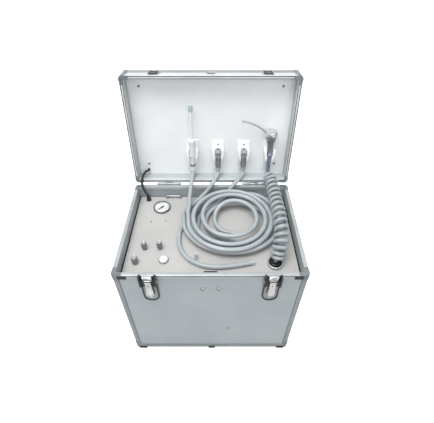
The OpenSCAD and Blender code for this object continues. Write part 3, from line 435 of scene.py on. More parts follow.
# Clear mouldings: milky handle, clearer tube, teal cap, and a window that shows only its reflections
frosted = surface("frosted clear moulding", "#F8FAFA", 0.3, "#ECF0F0", 8, 0.4, 0.006, 0.06,
                  Transmission_Weight=0.3)
clear_tube = surface("clear suction tube", "#F6F9F9", 0.2, "#ECF2F2", 10, 0.5, 0.002, 0.04,
                     Transmission_Weight=0.2)
tip_cap = surface("pale teal tip cap", "#AEC0C1", 0.3, "#9FB1B3", 5, 0.4, 0.004, 0.05)
glass = surface("gauge window", "#FFFFFF", 0.04, "#FAFFFF", 20, 0.8, 0.001, 0.02, Transmission_Weight=1.0)
# Machinery and bottles under the deck: plain, as no view shows them
motor_paint = surface("compressor enamel", "#5E656B", 0.4, "#545B61", 20, 0.5, 0.01)
tank_paint = surface("tank enamel", "#D8DADB", 0.35, "#CDD0D1", 30, 0.6, 0.006, 0.06)
bottle_plastic = surface("cloudy bottle moulding", "#DDE6EA", 0.35, "#D0DBE0", 20, 0.6, 0.006, 0.06,
                         Transmission_Weight=0.3)

NODE_FINISH = {
    "base_wall_panels": laminate, "base_floor": laminate, "lid_panel": lit_lid_laminate, "lid_walls": lit_lid_laminate,
    "deck_panel": deck_paint, "lid_liner": liner_white, "compressor": motor_paint,
    "compressor_mounts": black_rubber, "air_tank": tank_paint, "supply_bottles": bottle_plastic,
    "valve_manifold": dark_metal, "gauge_dial": dial_white, "gauge_lens": glass,
}

# ---- Hoses and cords ----

HOSE_R = 5.0
TURN_POINTS = 24
LAYER_Z, LAYER_STEP = 5.3, 10.8
# First and last loop as (middle x, middle y, half width, half depth), turns, start angle, how late the coil draws
# in, layer, humps and outward bulges as (turn, size, half length in turns), turns in which it sinks to the deck
COIL_LOW = ((44, 152, 76, 60), (42, 158, 116, 114), 1.3, 178, 0.8, 0, (), ((1.13, 22, 0.16),), 0)
COIL_MIDDLE = ((50, 166, 115, 98), (54, 159, 60, 46), 2.2, 178, 1.5, 1, ((0.64, 14, 0.14),), (), 0.35)
COIL_HIGH = ((44.5, 158, 98, 91), (52, 170, 38, 36), 3.2, 178, 1.5, 2,
             ((0.75, 10, 0.42), (1.75, 10, 0.42), (2.72, 6, 0.3)), (), 0.45)
SUCTION_ROUTE = [(-47.8, 291.5, 57), (-48.5, 285, 53.5), (-50, 276, 51.5), (-51, 266, 47.5), (-52, 254, 43),
                 (-53, 240, 38.5), (-54, 226, 34.5), (-54, 212, 31), (-54, 198, 28.2)]
LEFT_ROUTE = [(16, 291.5, 56.5), (14, 285, 53), (10, 276, 51.5), (5, 267, 48), (0, 261, 44), (-5, 257, 38),
              (-10, 254, 32), (-16, 249, 27), (-23, 242, 23), (-31, 234, 19.5), (-41, 224, 17.2),
              (-51, 213, 16.2), (-59, 203, 16.1), (-64, 194, 16.1)]
RIGHT_ROUTE = [(80, 291.5, 56.5), (77, 285, 53), (71, 276, 51.5), (63, 267, 48.5), (56, 261, 44.5),
               (50, 257, 38.5), (45, 254, 32.5), (40, 249, 27.5), (35, 242, 24), (28, 236, 19), (20, 230.5, 14),
               (11, 224.5, 9.5), (1, 217.5, 6.5), (-9, 209, 5.4), (-18, 200, 5.3), (-25, 191, 5.3),
               (-30, 182.5, 5.3)]
# Hose length inside the instruments, the height of their mouths, and the curly cord's collar and middle line
HOSE_INSIDE = 30.0
MOUTH_V = (33, 32, 32)
CORD_COLLAR = (137, 52)
ARCH = [(137, 52, 19), (140, 58, 29), (145, 68, 41.5), (149, 84, 50.5), (151, 106, 57.5), (151, 130, 60.5),
        (151, 154, 61.5), (150, 178, 61), (150, 202, 60), (149, 226, 60), (148, 249, 60.5), (146, 269, 61.5)]
SYRINGE_V = 30.0
STAY_ROUTE = [(-171, 295, 58), (-176, 284, 55), (-178, 273, 48), (-177, 264, 41), (-173, 257, 31),
              (-167, 252, 21)]
STAY_AT = (-163, 251)
STAY_ON_LID = (-165, 24)
STAY_GLAND_H = 9.0
CURLS = 18
CURL_TUBE_R = 4.2
CURL_R = 12.3
STAY_R = 3.0


def above_deck(p):
    return Vector((p[0], p[1], DECK_Z + p[2]))


def smooth_step(t):
    t = min(max(t, 0), 1)
    return t * t * (3 - 2 * t)


def swells(listed, t):
    return sum(size * smooth_step(1 - abs(t - middle) / half) for middle, size, half in listed)


def coil_points(coil):
    """A coil with a straight end of one hose width at each side."""
    first, last, turns, start, ease, layer, humps, bulges, sink = coil
    count = round(TURN_POINTS * turns)
    points = []
    for i in range(count + 1):
        t = turns * i / count
        angle = radians(start + 360 * t)
        cx, cy, a, b = [k + (n - k) * (i / count) ** ease for k, n in zip(first, last)]
        out = swells(bulges, t)
        lift = LAYER_STEP * layer
        drop = lift * smooth_step((t - turns + sink) / (sink - 0.06)) if sink else 0
        height = LAYER_Z + lift + swells(humps, t) - drop
        points.append(above_deck((cx + (a + out) * cos(angle), cy + (b + out) * sin(angle), height)))
    before = (points[0] - points[1]).normalized() * 2 * HOSE_R
    after = (points[-1] - points[-2]).normalized() * 2 * HOSE_R
    return [points[0] + before] + points + [points[-1] + after]


def spline(a, b, c, d, f):
    """The smooth curve from b to c at the share f, between its neighbours a and d."""
    return (2 * b + (c - a) * f + (2 * a - 5 * b + 4 * c - d) * f * f + (3 * b - a - 3 * c + d) * f ** 3) / 2


def curve_through(points, spacing):
    """Points at about even spacing on a smooth curve through the given ones."""
    result = []
    for i in range(len(points) - 1):
        a, b = points[max(i - 1, 0)], points[i]
        c, d = points[i + 1], points[min(i + 2, len(points) - 1)]
        steps = max(1, ceil((c - b).length / spacing))
        result += [spline(a, b, c, d, k / steps) for k in range(steps)]
    return result + [points[-1]]


def hose(name, coil, route, holder, replaced):
    """One hose from its outlet on the deck, round its coil and up into its instrument."""
    loops = coil_points(coil)
    heading = (loops[1] - loops[0]).normalized()
    entry = [lid_to_case(HOLDER_X[holder], MOUTH_V[holder] + k, AXIS_W)
             for k in (HOSE_INSIDE, HOSE_INSIDE / 2, HOSE_INSIDE / 10, 0, -2)]
    free = entry + [above_deck(p) for p in route] + [loops[0] - 2 * HOSE_R * heading, loops[0]]
    path = curve_through(free, 4)[:-1] + curve_through(loops, 5)
    path = path[::-1]
    bm = bmesh.new()
    sweep(bm, path, HOSE_R, 20)
    made = piece(bm, name, silicone, None, replaces=replaced)
    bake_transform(made)


hose("suction_hose", COIL_HIGH, SUCTION_ROUTE, 0, ("suction_coil", "suction_drop"))
hose("left_handpiece_hose", COIL_MIDDLE, LEFT_ROUTE, 1, ("coil_left", "drop_left"))
hose("right_handpiece_hose", COIL_LOW, RIGHT_ROUTE, 2, ("coil_right", "drop_right"))


def curly_cord():
    """A helix round the arch from its collar on the deck to the syringe."""
    guide = [above_deck(p) for p in ARCH] + [lid_to_case(HOLDER_X[3], SYRINGE_V - 2 * CURL_TUBE_R, AXIS_W)]
    spans = len(guide) - 1

    def arch(s):
        i = min(floor(s * spans), spans - 1)
        return spline(guide[max(i - 1, 0)], guide[i], guide[i + 1], guide[min(i + 2, spans)], s * spans - i)

    path = [above_deck((*CORD_COLLAR, 10)), above_deck((*CORD_COLLAR, 14.5))]
    for i in range(CURLS * TURN_POINTS + 1):
        s = i / (CURLS * TURN_POINTS)
        along = (arch(min(1, s + 0.01)) - arch(max(0, s - 0.01))).normalized()
        side = Vector((1, 0, 0))
        side = (side - side.dot(along) * along).normalized()
        turn = tau * CURLS * s
        swell = smooth_step(s * CURLS) * smooth_step((1 - s) * CURLS / 2)
        path.append(arch(s) + CURL_R * swell * (cos(turn) * side + sin(turn) * along.cross(side)))
    path += [lid_to_case(HOLDER_X[3], SYRINGE_V + 30 * k, AXIS_W) for k in (0, 0.25, 0.5, 0.75, 1)]
    bm = bmesh.new()
    sweep(bm, path, CURL_TUBE_R, 14)
    made = piece(bm, "syringe_curly_cord", curly_tubing, None, replaces=("curly_cord",))
    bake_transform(made)


curly_cord()


def stay_cord():
    """The short cord from the liner to its gland."""
    points = [lid_to_case(*STAY_ON_LID, LINER + k) for k in (0, 2 * STAY_R)]
    points += [above_deck(p) for p in STAY_ROUTE]
    points += [above_deck((*STAY_AT, STAY_GLAND_H + k)) for k in (2 * STAY_R, 0)]
    path = curve_through(points, 2)[::-1]
    bm = bmesh.new()
    sweep(bm, path, STAY_R, 14)
    made = piece(bm, "lid_stay", stay_braid, None, replaces=("lid_stay_cord",))
    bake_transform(made)


stay_cord()

# ---- CAD nodes that keep their shape ----

for node_name, node_finish in NODE_FINISH.items():
    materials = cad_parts[node_name].data.materials
    materials.clear()
    materials.append(node_finish)

for node_name, node_finish, node_body, node_slot, node_edge in (
    ("base_edge_trim", extrusion, "case", "edge_aluminium", 0.5),
    ("base_corner_caps", cap_steel, "case", "corner_steel", 0.4),
    ("feet_and_bumpers", black_rubber, "case", "black_rubber", 0.4),
    ("hinge_base_leaves", pressed_steel, "case", "hinge_steel", 0.15),
    ("power_inlet", black_plastic, "case", "black_plastic", 0.5),
    ("handle_brackets", dark_plate, "case", "dark_zinc", 0.6),
    ("valve_collars", dark_metal, "case", "collar_metal", 0.3),
    ("hose_elbows", elbow_grey, "case", "white_nozzle", 0.3),
    ("deck_pull", nozzle_steel, "case", "chrome", 0.2),
    ("lid_edge_trim", extrusion, "lid", "edge_aluminium", 0.5),
    ("lid_corner_caps", cap_steel, "lid", "corner_steel", 0.4),
    ("hinge_lid_leaves", pressed_steel, "lid", "hinge_steel", 0.15),
    ("instrument_holders", white_plastic, "lid", "liner_white", 1.0),
    ("suction_lever", white_plastic, "suction_valve", "lever_white", 0.3),
    ("syringe_nozzle", nozzle_steel, "nozzle", "chrome", 0.1),
    ("syringe_air_button", dark_metal, "air_button", "black_plastic", 0.3),
    ("syringe_water_button", dark_metal, "water_button", "black_plastic", 0.3),
    ("carry_handle_left", black_plastic, "left_handle", "black_plastic", 0.4),
    ("carry_handle_right", black_plastic, "right_handle", "black_plastic", 0.4),
    ("power_button", white_plastic, "button", "white_nozzle", 0.3),
):
    softened_node(node_name, node_finish, node_body, node_edge)

# ---- Rims, corner plates and seams ----

# Closed profiles of (inset from the outer face, height under the rim's flat face)
BASE_RIM = [(0, -10), (0, -2.9), (0.9, -2.7), (0.9, -1.5), (0, -1.3), (0, -0.8), (0.3, -0.25), (0.9, 0), (7.5, 0),
            (8.1, -0.25), (8.4, -0.8), (8.4, -10), (6.5, -10), (6.5, -3), (1.5, -3), (1.5, -10)]
LID_RIM = [(0, -10), (0, -0.8), (0.3, -0.25), (0.5, 0), (0.7, 0), (0.9, -1.2), (2.2, -1.2), (2.4, 0), (6.0, 0),
           (6.2, -1.2), (7.2, -1.2), (7.4, 0), (8.1, -0.1), (8.4, -0.5), (8.4, -10), (6.5, -10), (6.5, -3),
           (1.5, -3), (1.5, -10)]
BASE_TOP = CASE @ moved(0, 0, CASE_H)
LID_FACE = LID @ moved(0, HINGE_BACK, -PARTING)


def rims():
    """The two drawn rims, whose narrow grooves are painted dark as shade."""
    bm = bmesh.new()
    frame_sweep(bm, BASE_RIM, CASE_W, CASE_D, CORNER_R, dark=(1, 2, 3))
    piece(bm, "base_rim_extrusion", (rim_metal, shade_and_line_black), "case", BASE_TOP,
          replaces=("base_rim",))
    bm = bmesh.new()
    frame_sweep(bm, LID_RIM, CASE_W, CASE_D, CORNER_R, dark=(4, 5, 6, 8, 9, 10))
    piece(bm, "lid_rim_extrusion", (lit_lid_rim_metal, shade_and_line_black), "lid", LID_FACE,
          replaces=("lid_rim",))


PLATE_LEG, PLATE_PROUD, PLATE_INNER_R = 20, 0.15, 3
SEAM_HALF, SEAM_IN, SEAM_OUT = 0.6, 0.3, 0.15
LINING, GAP_STRIP_W = 0.5, 2.9
RIM_PAD_HALF, FOOT_PAD_HALF, MIDDLE_PAD_HALF = 8.8, 9.5, 8.5


def corner_plate(bm, leg, width, thick, place):
    """An L-shaped plate over a rim's flat face at one rounded corner."""
    r = PLATE_INNER_R
    outline = [(leg, 0), (leg, width), (width + r, width)]
    outline += [(width + r - r * sin(a), width + r - r * cos(a)) for a in (pi / 8, pi / 4, 3 * pi / 8)]
    outline += [(width, width + r), (width, leg), (0, leg)]
    outline += [(CORNER_R - CORNER_R * cos(a), CORNER_R - CORNER_R * sin(a)) for a in
                [pi / 2 * k / 8 for k in range(9)]]
    slab(bm, outline, -0.5, thick, place)


def corner_plates():
    """Flat steel plates at the rims' corners."""
    for name, body, top in (("base_corner_plates", "case", BASE_TOP), ("lid_corner_plates", "lid", LID_FACE)):
        bm = bmesh.new()
        for i in (-1, 1):
            for y, j in ((0, 1), (CASE_D, -1)):
                corner_plate(bm, PLATE_LEG, RIM_W - 0.1, PLATE_PROUD,
                             moved(i * CASE_W / 2, y, 0) @ Matrix.Diagonal((-i, j, 1, 1)))
        piece(bm, name, cap_steel, body, top)


def facing(turn, distance):
    """The frame of an upright face of the case: -y points out of it and z up."""
    return (moved(0, CASE_D / 2, 0) @ turned(turn, "Z")
            @ moved(0, -distance, 0))


def base_seam_shade():
    """Dark strips where the case's sheets meet the edge trims, painted shade along the trims' proud edges."""
    bm = bmesh.new()
    low, high = FOOT_H + TRIM_LEG, CASE_H - RIM_H
    for w, d, turn in ((CASE_W, CASE_D, 0), (CASE_W, CASE_D, 180), (CASE_D, CASE_W, 90), (CASE_D, CASE_W, -90)):
        face = facing(turn, d / 2 - TRIM_PROUD)
        edge = w / 2 - TRIM_LEG
        for x in (-edge, edge):
            block(bm, (x - SEAM_HALF, -SEAM_OUT, low), (x + SEAM_HALF, SEAM_IN, high), face)
        block(bm, (-edge, -SEAM_OUT, low - SEAM_HALF), (edge, SEAM_IN, low + SEAM_HALF), face)
    piece(bm, "base_seam_shade", shade_and_line_black, "case")


def lid_seam_shade():
    """The same strips of painted shade on the lid's back."""
    bm = bmesh.new()
    w, v0, v1 = CASE_W / 2 - TRIM_LEG, HINGE_BACK + TRIM_LEG, LID_FRONT - TRIM_LEG
    low, high = TRIM_PROUD - LID_T - SEAM_OUT, TRIM_PROUD - LID_T + SEAM_IN
    for x in (-w, w):
        block(bm, (x - SEAM_HALF, v0, low), (x + SEAM_HALF, v1, high))
    for v in (v0, v1):
        block(bm, (-w, v - SEAM_HALF, low), (w, v + SEAM_HALF, high))
    piece(bm, "lid_seam_shade", shade_and_line_black, "lid", LID)


def lid_lining():
    """Pale sheets on the inner faces of the lid's walls."""
    bm = bmesh.new()
    x, low, high, front = CASE_W / 2 - SEAT, HINGE_BACK + SEAT, LID_FRONT - SEAT, -PARTING - RIM_H
    for side in (-1, 1):
        block(bm, (side * x - LINING * (side > 0), low, LINER), (side * x + LINING * (side < 0), high, front))
    block(bm, (-x, low, LINER), (x, low + LINING, front))
    block(bm, (-x, high - LINING, LINER), (x, high, front))
    piece(bm, "lid_wall_lining", lining_grey, "lid", LID)


def gap_shade_strips():
    """Black strips in the gaps beside the deck: painted shade of the gaps."""
    bm = bmesh.new()
    x = CASE_W / 2 - SEAT
    for side in (-1, 1):
        block(bm, (side * x - GAP_STRIP_W * (side > 0), SEAT + 0.3, DECK_Z - 2.6),
              (side * x + GAP_STRIP_W * (side < 0), CASE_D - SEAT - 0.3, DECK_Z - 0.3))
    soften(bm, 0.4)
    piece(bm, "deck_gap_shade_strips", gap_shade_black, "case")


def corner_bumpers():
    """Black rubber pads at the corners of the rim's outer faces and along the bottom edge."""
    bm = bmesh.new()
    for turn in (0, 180):
        face = facing(turn, CASE_D / 2)
        for x in (20.5 - CASE_W / 2, CASE_W / 2 - 20.5):
            block(bm, (x - RIM_PAD_HALF, -1.5, CASE_H - 11.5), (x + RIM_PAD_HALF, 0.5, CASE_H - 1.2), face)
        for x, w in ((18 - CASE_W / 2, FOOT_PAD_HALF), (0, MIDDLE_PAD_HALF), (CASE_W / 2 - 18, FOOT_PAD_HALF)):
            block(bm, (x - w, -1.7, 0.4), (x + w, 6, 8.6), face)
    soften(bm, 1.1, 3)
    piece(bm, "corner_bumpers", black_rubber, "case")


rims()
corner_plates()
base_seam_shade()
lid_seam_shade()
lid_lining()
gap_shade_strips()
corner_bumpers()

# ---- Screws ----

FRONT_SCREWS = [(-16, CASE_H - 50, 4.4), (16, CASE_H - 50, 4.4), (39, 105, 3.2)]
DECK_SCREWS = [(-146, 174), (-111, 176)]
LINER_SCREW_X, LINER_SCREW_V = (-162.5, 162.5), (41, 243)
HOLDER_SCREW_V = 98


def screws():
    """The screw heads of the front, deck, liner and holders."""
    bm = bmesh.new()
    for x, z, r in FRONT_SCREWS:
        at = moved(x, TRIM_PROUD, z) @ turned(90, "X")
        lathe(bm, [(0, -6), (1.9, -6), (1.9, 0), (r, 0), (r, 0.2)], 24, at)
        screw_head(bm, r, 1.7, at)
        # A black ring round each front head and a dark slot across it: painted shade of the gap and the recess
        tinted(bm, 1, lathe, [(r, 0.02), (r + 0.9, 0.02), (r + 0.8, 0.35), (r, 0.45)], 32, at)
        tinted(bm, 1, block, (-r * 0.62, -r * 0.17, 1.2), (r * 0.62, r * 0.17, 1.95), at)
    piece(bm, "front_screw_heads", (bright_screw, shade_and_line_black), "case",
          replaces=("panel_screws",))
    bm = bmesh.new()
    for x, y in DECK_SCREWS:
        screw_head(bm, 2.3, 1.2, moved(x, y, DECK_Z))
    piece(bm, "deck_screw_heads", (pressed_steel, shade_and_line_black), "case")
    bm = bmesh.new()
    for x in LINER_SCREW_X:
        for v in LINER_SCREW_V:
            screw_head(bm, 3.2, 1.3, moved(x, v, LINER))
    piece(bm, "liner_screw_heads", (pressed_steel, shade_and_line_black), "lid", LID,
          replaces=("liner_screws",))
    bm = bmesh.new()
    for x in HOLDER_X:
        screw_head(bm, 2.4, 1.3, moved(x, HOLDER_SCREW_V, LINER + 3))
    piece(bm, "holder_screw_heads", (dark_metal, shade_and_line_black), "lid", LID)


screws()

# ---- Latches ----

LATCH_X, LATCH_W, LATCH_L = 123.0, 34.0, 88.0
PIVOT = (-6.0, CASE_H - 12)
# Turned frames: the shape's y up or its x and y on the case's y and z
UPRIGHT = Matrix(((1, 0, 0, 0), (0, 0, -1, 0), (0, 1, 0, 0), (0, 0, 0, 1)))
SIDEWAYS = Matrix(((0, 0, 1, 0), (1, 0, 0, 0), (0, 1, 0, 0), (0, 0, 0, 1)))


def latch_housing(side):
    """A silver plate with a black line round its lower end, dark cheeks, a dark back and bright pin ends."""
    half = LATCH_W / 2
    turn = half - LATCH_L
    at = moved(side * LATCH_X, 0, CASE_H)
    outline = [(half, -3), (-half, -3)]
    outline += [(-half * cos(pi * k / 16), turn - half * sin(pi * k / 16)) for k in range(17)]
    bm = bmesh.new()
    slab(bm, outline, -TRIM_PROUD, 1.2, at @ UPRIGHT)
    soften(bm, 0.3)
    edge_line_inset = half - 1.9
    path = [Vector((edge_line_inset, 0, -36)), Vector((edge_line_inset, 0, -50))]
    path += [Vector((edge_line_inset * cos(pi * k / 18), 0, turn - edge_line_inset * sin(pi * k / 18))) for k in range(19)]
    path += [Vector((-edge_line_inset, 0, -50)), Vector((-edge_line_inset, 0, -36))]
    tinted(bm, 1, sweep, [at @ Vector((p.x, -1.2, p.z)) for p in path], 1.7, 10)
    cheek = [(0, -32), (-5.5, -32), (-9.5, -26), (-9.5, 2), (-8.6, 5.6), (-6.6, 7.8), (-3.6, 7.8), (-1.4, 6),
             (-0.5, 3), (-0.5, -1), (0, -1.5)]
    for i in (-1, 1):
        tinted(bm, 1, slab, cheek, -2, 2, at @ moved(i * (half - 2), 0, 0) @ SIDEWAYS)
    tinted(bm, 1, block, (-half + 2, -1.9, -32), (half - 2, 0.4, -0.5), at)
    tinted(bm, 1, block, (-half, -3.5, -32), (half, -0.5, -27.5), at)
    for i in (-1, 1):
        tinted(bm, 2, lathe, [(0, 0.1), (2.3, 0.1), (2.1, 0.7), (1.2, 1.1), (0, 1.2)], 20,
               at @ moved(i * (half + 0.1), PIVOT[0], PIVOT[1] - CASE_H)
               @ turned(90 * i, "Y"))
    tinted(bm, 2, lathe, [(0, 1.2), (2.2, 1.2), (1.8, 1.9), (0, 2.2)], 20,
           at @ UPRIGHT @ moved(0, 12 - LATCH_L + 1, 0))
    return bm


def latch_housings():
    """Both housings as one mesh, as in the CAD."""
    bm = latch_housing(-1)
    merge(bm, latch_housing(1))
    piece(bm, "latch_housings", (latch_silver, dark_plate, bright_screw), "case",
          replaces=("latch_plates",))


def latch_lever(side, body):
    """The lever as seen with its lid open: a roll in the housing, the hook plate above and the tongue below."""
    at = moved(side * LATCH_X, *PIVOT)
    bm = bmesh.new()
    tongue = [(6.4, -2), (6.0, -16), (6.2, -26), (7.0, -34), (7.5, -41)]
    tongue += [(7.6 * cos(pi * k / 14), -43.4 - 7.6 * sin(pi * k / 14)) for k in range(15)]
    tongue += [(-x, z) for x, z in tongue[4::-1]]
    slab(bm, tongue[::-1], -1.8, 1.9, at @ UPRIGHT)
    slab(bm, rounded(18.6, 15.5, 1.2, 4, 9.5), -1.2, 0.8, at @ UPRIGHT)
    block(bm, (-9.3, -3.4, 15.4), (9.3, 1.2, 18.4), at)
    soften(bm, 0.6)
    tinted(bm, 1, rod, at @ Vector((-12.4, 0, 0)), at @ Vector((12.4, 0, 0)), 3.9, 28)
    rod(bm, at @ Vector((-6.2, 0, 0)), at @ Vector((6.2, 0, 0)), 4.4, 28)
    lathe(bm, [(0, 1.8), (5.2, 1.8), (4.9, 2.5), (3.6, 2.9), (0, 3.0)], 28,
          at @ UPRIGHT @ moved(0, -43.4, 0))
    shadow = [(x * 1.09, z * 1.03 - 0.2) for x, z in tongue[::-1]]
    tinted(bm, 1, slab, shadow, -3.4, -2.2, at @ UPRIGHT)
    for i in (-1, 1):
        tinted(bm, 1, rod, at @ Vector((i * 12.2, -1.4, -4.4)), at @ Vector((i * 6.4, -1.4, -4.4)), 2.2, 14)
    tinted(bm, 1, block, (-12.3, -3.9, 3.2), (12.3, -2.2, 4.3), at)
    tinted(bm, 1, block, (-5.2, -3.75, 16.2), (5.2, -3.3, 17.6), at)
    tinted(bm, 1, lathe, [(0, 1.7), (1.5, 1.7), (1.5, 2.1), (0, 2.1)], 14,
           at @ UPRIGHT @ moved(0, -13, 0))
    node = "latch_lever_left" if side < 0 else "latch_lever_right"
    piece(bm, node + "_finished", (latch_chrome, shade_and_line_black), body, replaces=(node,))


latch_housings()
latch_lever(-1, "left_latch")
latch_lever(1, "right_latch")


def keepers():
    """The plates on the lid's front wall that the latches hook over."""
    bm = bmesh.new()
    outwards = Matrix(((1, 0, 0, 0), (0, 0, 1, 0), (0, -1, 0, 0), (0, 0, 0, 1)))
    for side in (-1, 1):
        at = moved(side * LATCH_X, LID_FRONT, 0) @ outwards
        slab(bm, rounded(25, 33, 4, 5, 21.5), -TRIM_PROUD, 1.1, at)
        tinted(bm, 1, slab, rounded(18.4, 21, 2, 5, 16), 0.5, 2.7, at)
        for low, high in ((11.2, 12.4), (17.0, 18.2)):
            slab(bm, rounded(13, high - low, 0.4, 3, (low + high) / 2), 2.0, 2.95, at)
        for i in (-1, 1):
            tinted(bm, 1, lathe, [(0, 1.0), (1.5, 1.0), (1.5, 1.5), (0, 1.6)], 14,
                   at @ moved(i * 8.6, 33.5, 0))
    lathe(bm, [(0, -0.2), (9.5, -0.2), (9.5, 0.7), (8.9, 1.1), (0, 1.1)], 36,
          moved(0, LID_FRONT, 0) @ outwards @ moved(0, 24, 0))
    piece(bm, "keeper_plates", (keeper_grey, shade_and_line_black), "lid", LID,
          replaces=("latch_keepers",))


keepers()

# ---- Deck ----

GAUGE_AT = (-125.0, 221.5)
KNOBS = (("knob_left", "left_knob", (-148, 93), 12.6, True), ("knob_right", "right_knob", (-114, 94), 12.6, True),
         ("knob_front", "front_knob", (-162, 55), 14.6, False))
PULL_AT = (-99.0, 258.5)


def gauge():
    """The housing, the scale's marks and the pointer."""
    bm = bmesh.new()
    lathe(bm, [(0, -36), (5, -36), (5, -26), (20, -26), (20, -0.1), (19.2, 0), (19.2, 1.0), (0, 1.0)], 64)
    tinted(bm, 1, lathe, [(21.4, 0), (21.4, 4.4), (20.8, 5.6), (20.0, 6.0), (19.3, 5.4), (19.1, 4.6), (19.1, 0.4),
                          (21.4, 0)], 64)
    piece(bm, "gauge_housing", (black_plastic, bezel_steel), "case", on_deck(*GAUGE_AT),
          replaces=("gauge_case",))
    bm = bmesh.new()
    arc_of_blocks(bm, black_plastic, 28, 16.6, (1.7, 0.3, 0.06), 1.63, -45, 10)
    arc_of_blocks(bm, black_plastic, 7, 15.8, (3.2, 0.6, 0.06), 1.63, -45, 45)
    lathe(bm, [(0, 1.6), (2.6, 1.6), (2.6, 1.7), (0, 1.7)], 24)
    piece(bm, "gauge_scale", black_plastic, "case", on_deck(*GAUGE_AT))
    bm = bmesh.new()
    slab(bm, [(-7, -1.5), (0, -1.9), (15, -0.45), (15, 0.45), (0, 1.9), (-7, 1.5)], 2.4, 3.1,
         turned(225, "Z"))
    lathe(bm, [(0, -2.5), (0.8, -2.5), (0.8, 1.9), (2.2, 1.9), (2.2, 3.4), (1.2, 3.8), (0, 3.9)], 24)
    piece(bm, "gauge_pointer", black_plastic, "needle", on_deck(*GAUGE_AT),
          replaces=("gauge_needle",))


def knob(node, body, at, width, ribbed):
    """A knob with a ribbed skirt or a smooth one, a pale cap and a pointer line."""
    r = width / 2
    bm = bmesh.new()
    lathe(bm, [(0, -13), (3, -13), (3, 3.3), (r - 0.9, 3.3), (r - 0.4, 4.0), (r - 0.5, 18), (r - 1.0, 19.6),
               (r - 2.0, 20.4), (0, 20.4)], 48)
    if ribbed:
        arc_of_blocks(bm, knob_dark, 20, r - 0.35, (0.7, 0.8, 13), 10.8)
    tinted(bm, 1, lathe, [(r - 1.6, 20.2), (r - 1.8, 20.8), (r - 2.6, 21.0), (0, 21.0)], 48)
    tinted(bm, 2, block, (-0.6, 0.5, 20.6), (0.6, r - 1.2, 21.4))
    piece(bm, node + "_finished", (knob_dark if ribbed else knob_grey, knob_cap, white_plastic), body,
          on_deck(*at), replaces=(node,))


def glands():
    """The curly cord's pale collar with its dark boss, and the stay cord's cone."""
    bm = bmesh.new()
    lathe(bm, [(13.2, 0), (17, 0), (17, 5.6), (16.2, 7), (15, 7.4), (14, 7), (13.6, 5.8), (13.2, 2),
               (13.2, 0)], 64)
    piece(bm, "curly_collar", collar_grey, "case", on_deck(*CORD_COLLAR),
          replaces=("cord_glands",))
    bm = bmesh.new()
    lathe(bm, [(0, 0.1), (13.4, 0.1), (13.4, 2.2), (9.4, 2.4), (9.0, 5.2), (6.8, 6.0), (6.5, 10), (5.0, 10.4),
               (0, 10.4)], 48)
    arc_of_blocks(bm, dark_plate, 12, 11.3, (2.6, 1.2, 0.9), 2.5)
    lathe(bm, [(0, -11), (3.9, -11), (3.9, 0.1), (0, 0.1)], 24)
    lathe(bm, [(0, -7), (8, -7), (8, -3.05), (0, -3.05)], 6)
    piece(bm, "curly_collar_boss", dark_plate, "case", on_deck(*CORD_COLLAR))
    bm = bmesh.new()
    lathe(bm, [(0, -9), (3.9, -9), (3.9, 0), (6.6, 0), (6.4, 1.6), (5.2, 5.2), (4.2, 9), (0, 9)], 32)
    piece(bm, "stay_gland", black_plastic, "case", on_deck(*STAY_AT))


def pull_feet():
    """The two blocks that carry the deck's pull."""
    bm = bmesh.new()
    for x in (-17, 17):
        block(bm, (x - 3.6, -3, 0), (x + 3.6, 3, 1.8))
    soften(bm, 0.5)
    piece(bm, "pull_feet", dark_metal, "case", on_deck(*PULL_AT))


gauge()
for each_knob in KNOBS:
    knob(*each_knob)
glands()
pull_feet()

# ---- Instruments ----


def suction():
    """A frosted handle with a dark band, and a clear tip with a cap."""
    bm = bmesh.new()
    lathe(bm, [(5.3, 33), (7.2, 33), (7.3, 34), (7.3, 38), (6.6, 39), (6.6, 41), (7.2, 42), (7.2, 45.4),
               (6.4, 46.2), (6.2, 60), (6.2, 73), (8.6, 74.3), (8.7, 76), (8.4, 78), (7.4, 84), (7.2, 100),
               (8.0, 108), (8.5, 111), (8.3, 112), (4.3, 112), (4.2, 122), (4.0, 124), (3.3, 124),
               (3.3, 114), (0, 114), (0, 64), (5.3, 64), (5.3, 33)], 48)
    tinted(bm, 1, lathe, [(6.9, 46.0), (7.5, 46.6), (7.5, 50.4), (6.5, 51.0), (6.5, 46.0), (6.9, 46.0)], 40)
    piece(bm, "suction_handle_finished", (frosted, dark_metal), "suction", in_holder(0),
          replaces=("suction_handle",))
    bm = bmesh.new()
    lathe(bm, [(2.2, 114.3), (3.1, 114.3), (3.1, 190), (3.1, 194), (2.2, 194), (2.2, 114.3)], 32)
    tinted(bm, 1, lathe, [(3.12, 189), (4.7, 190.5), (5.2, 192), (5.2, 200), (4.9, 201.4), (4.2, 202), (2.6, 202),
                          (2.4, 200), (2.4, 189), (3.12, 189)], 40)
    piece(bm, "suction_tip_finished", (clear_tube, tip_cap), "suction", in_holder(0),
          replaces=("suction_tip",))


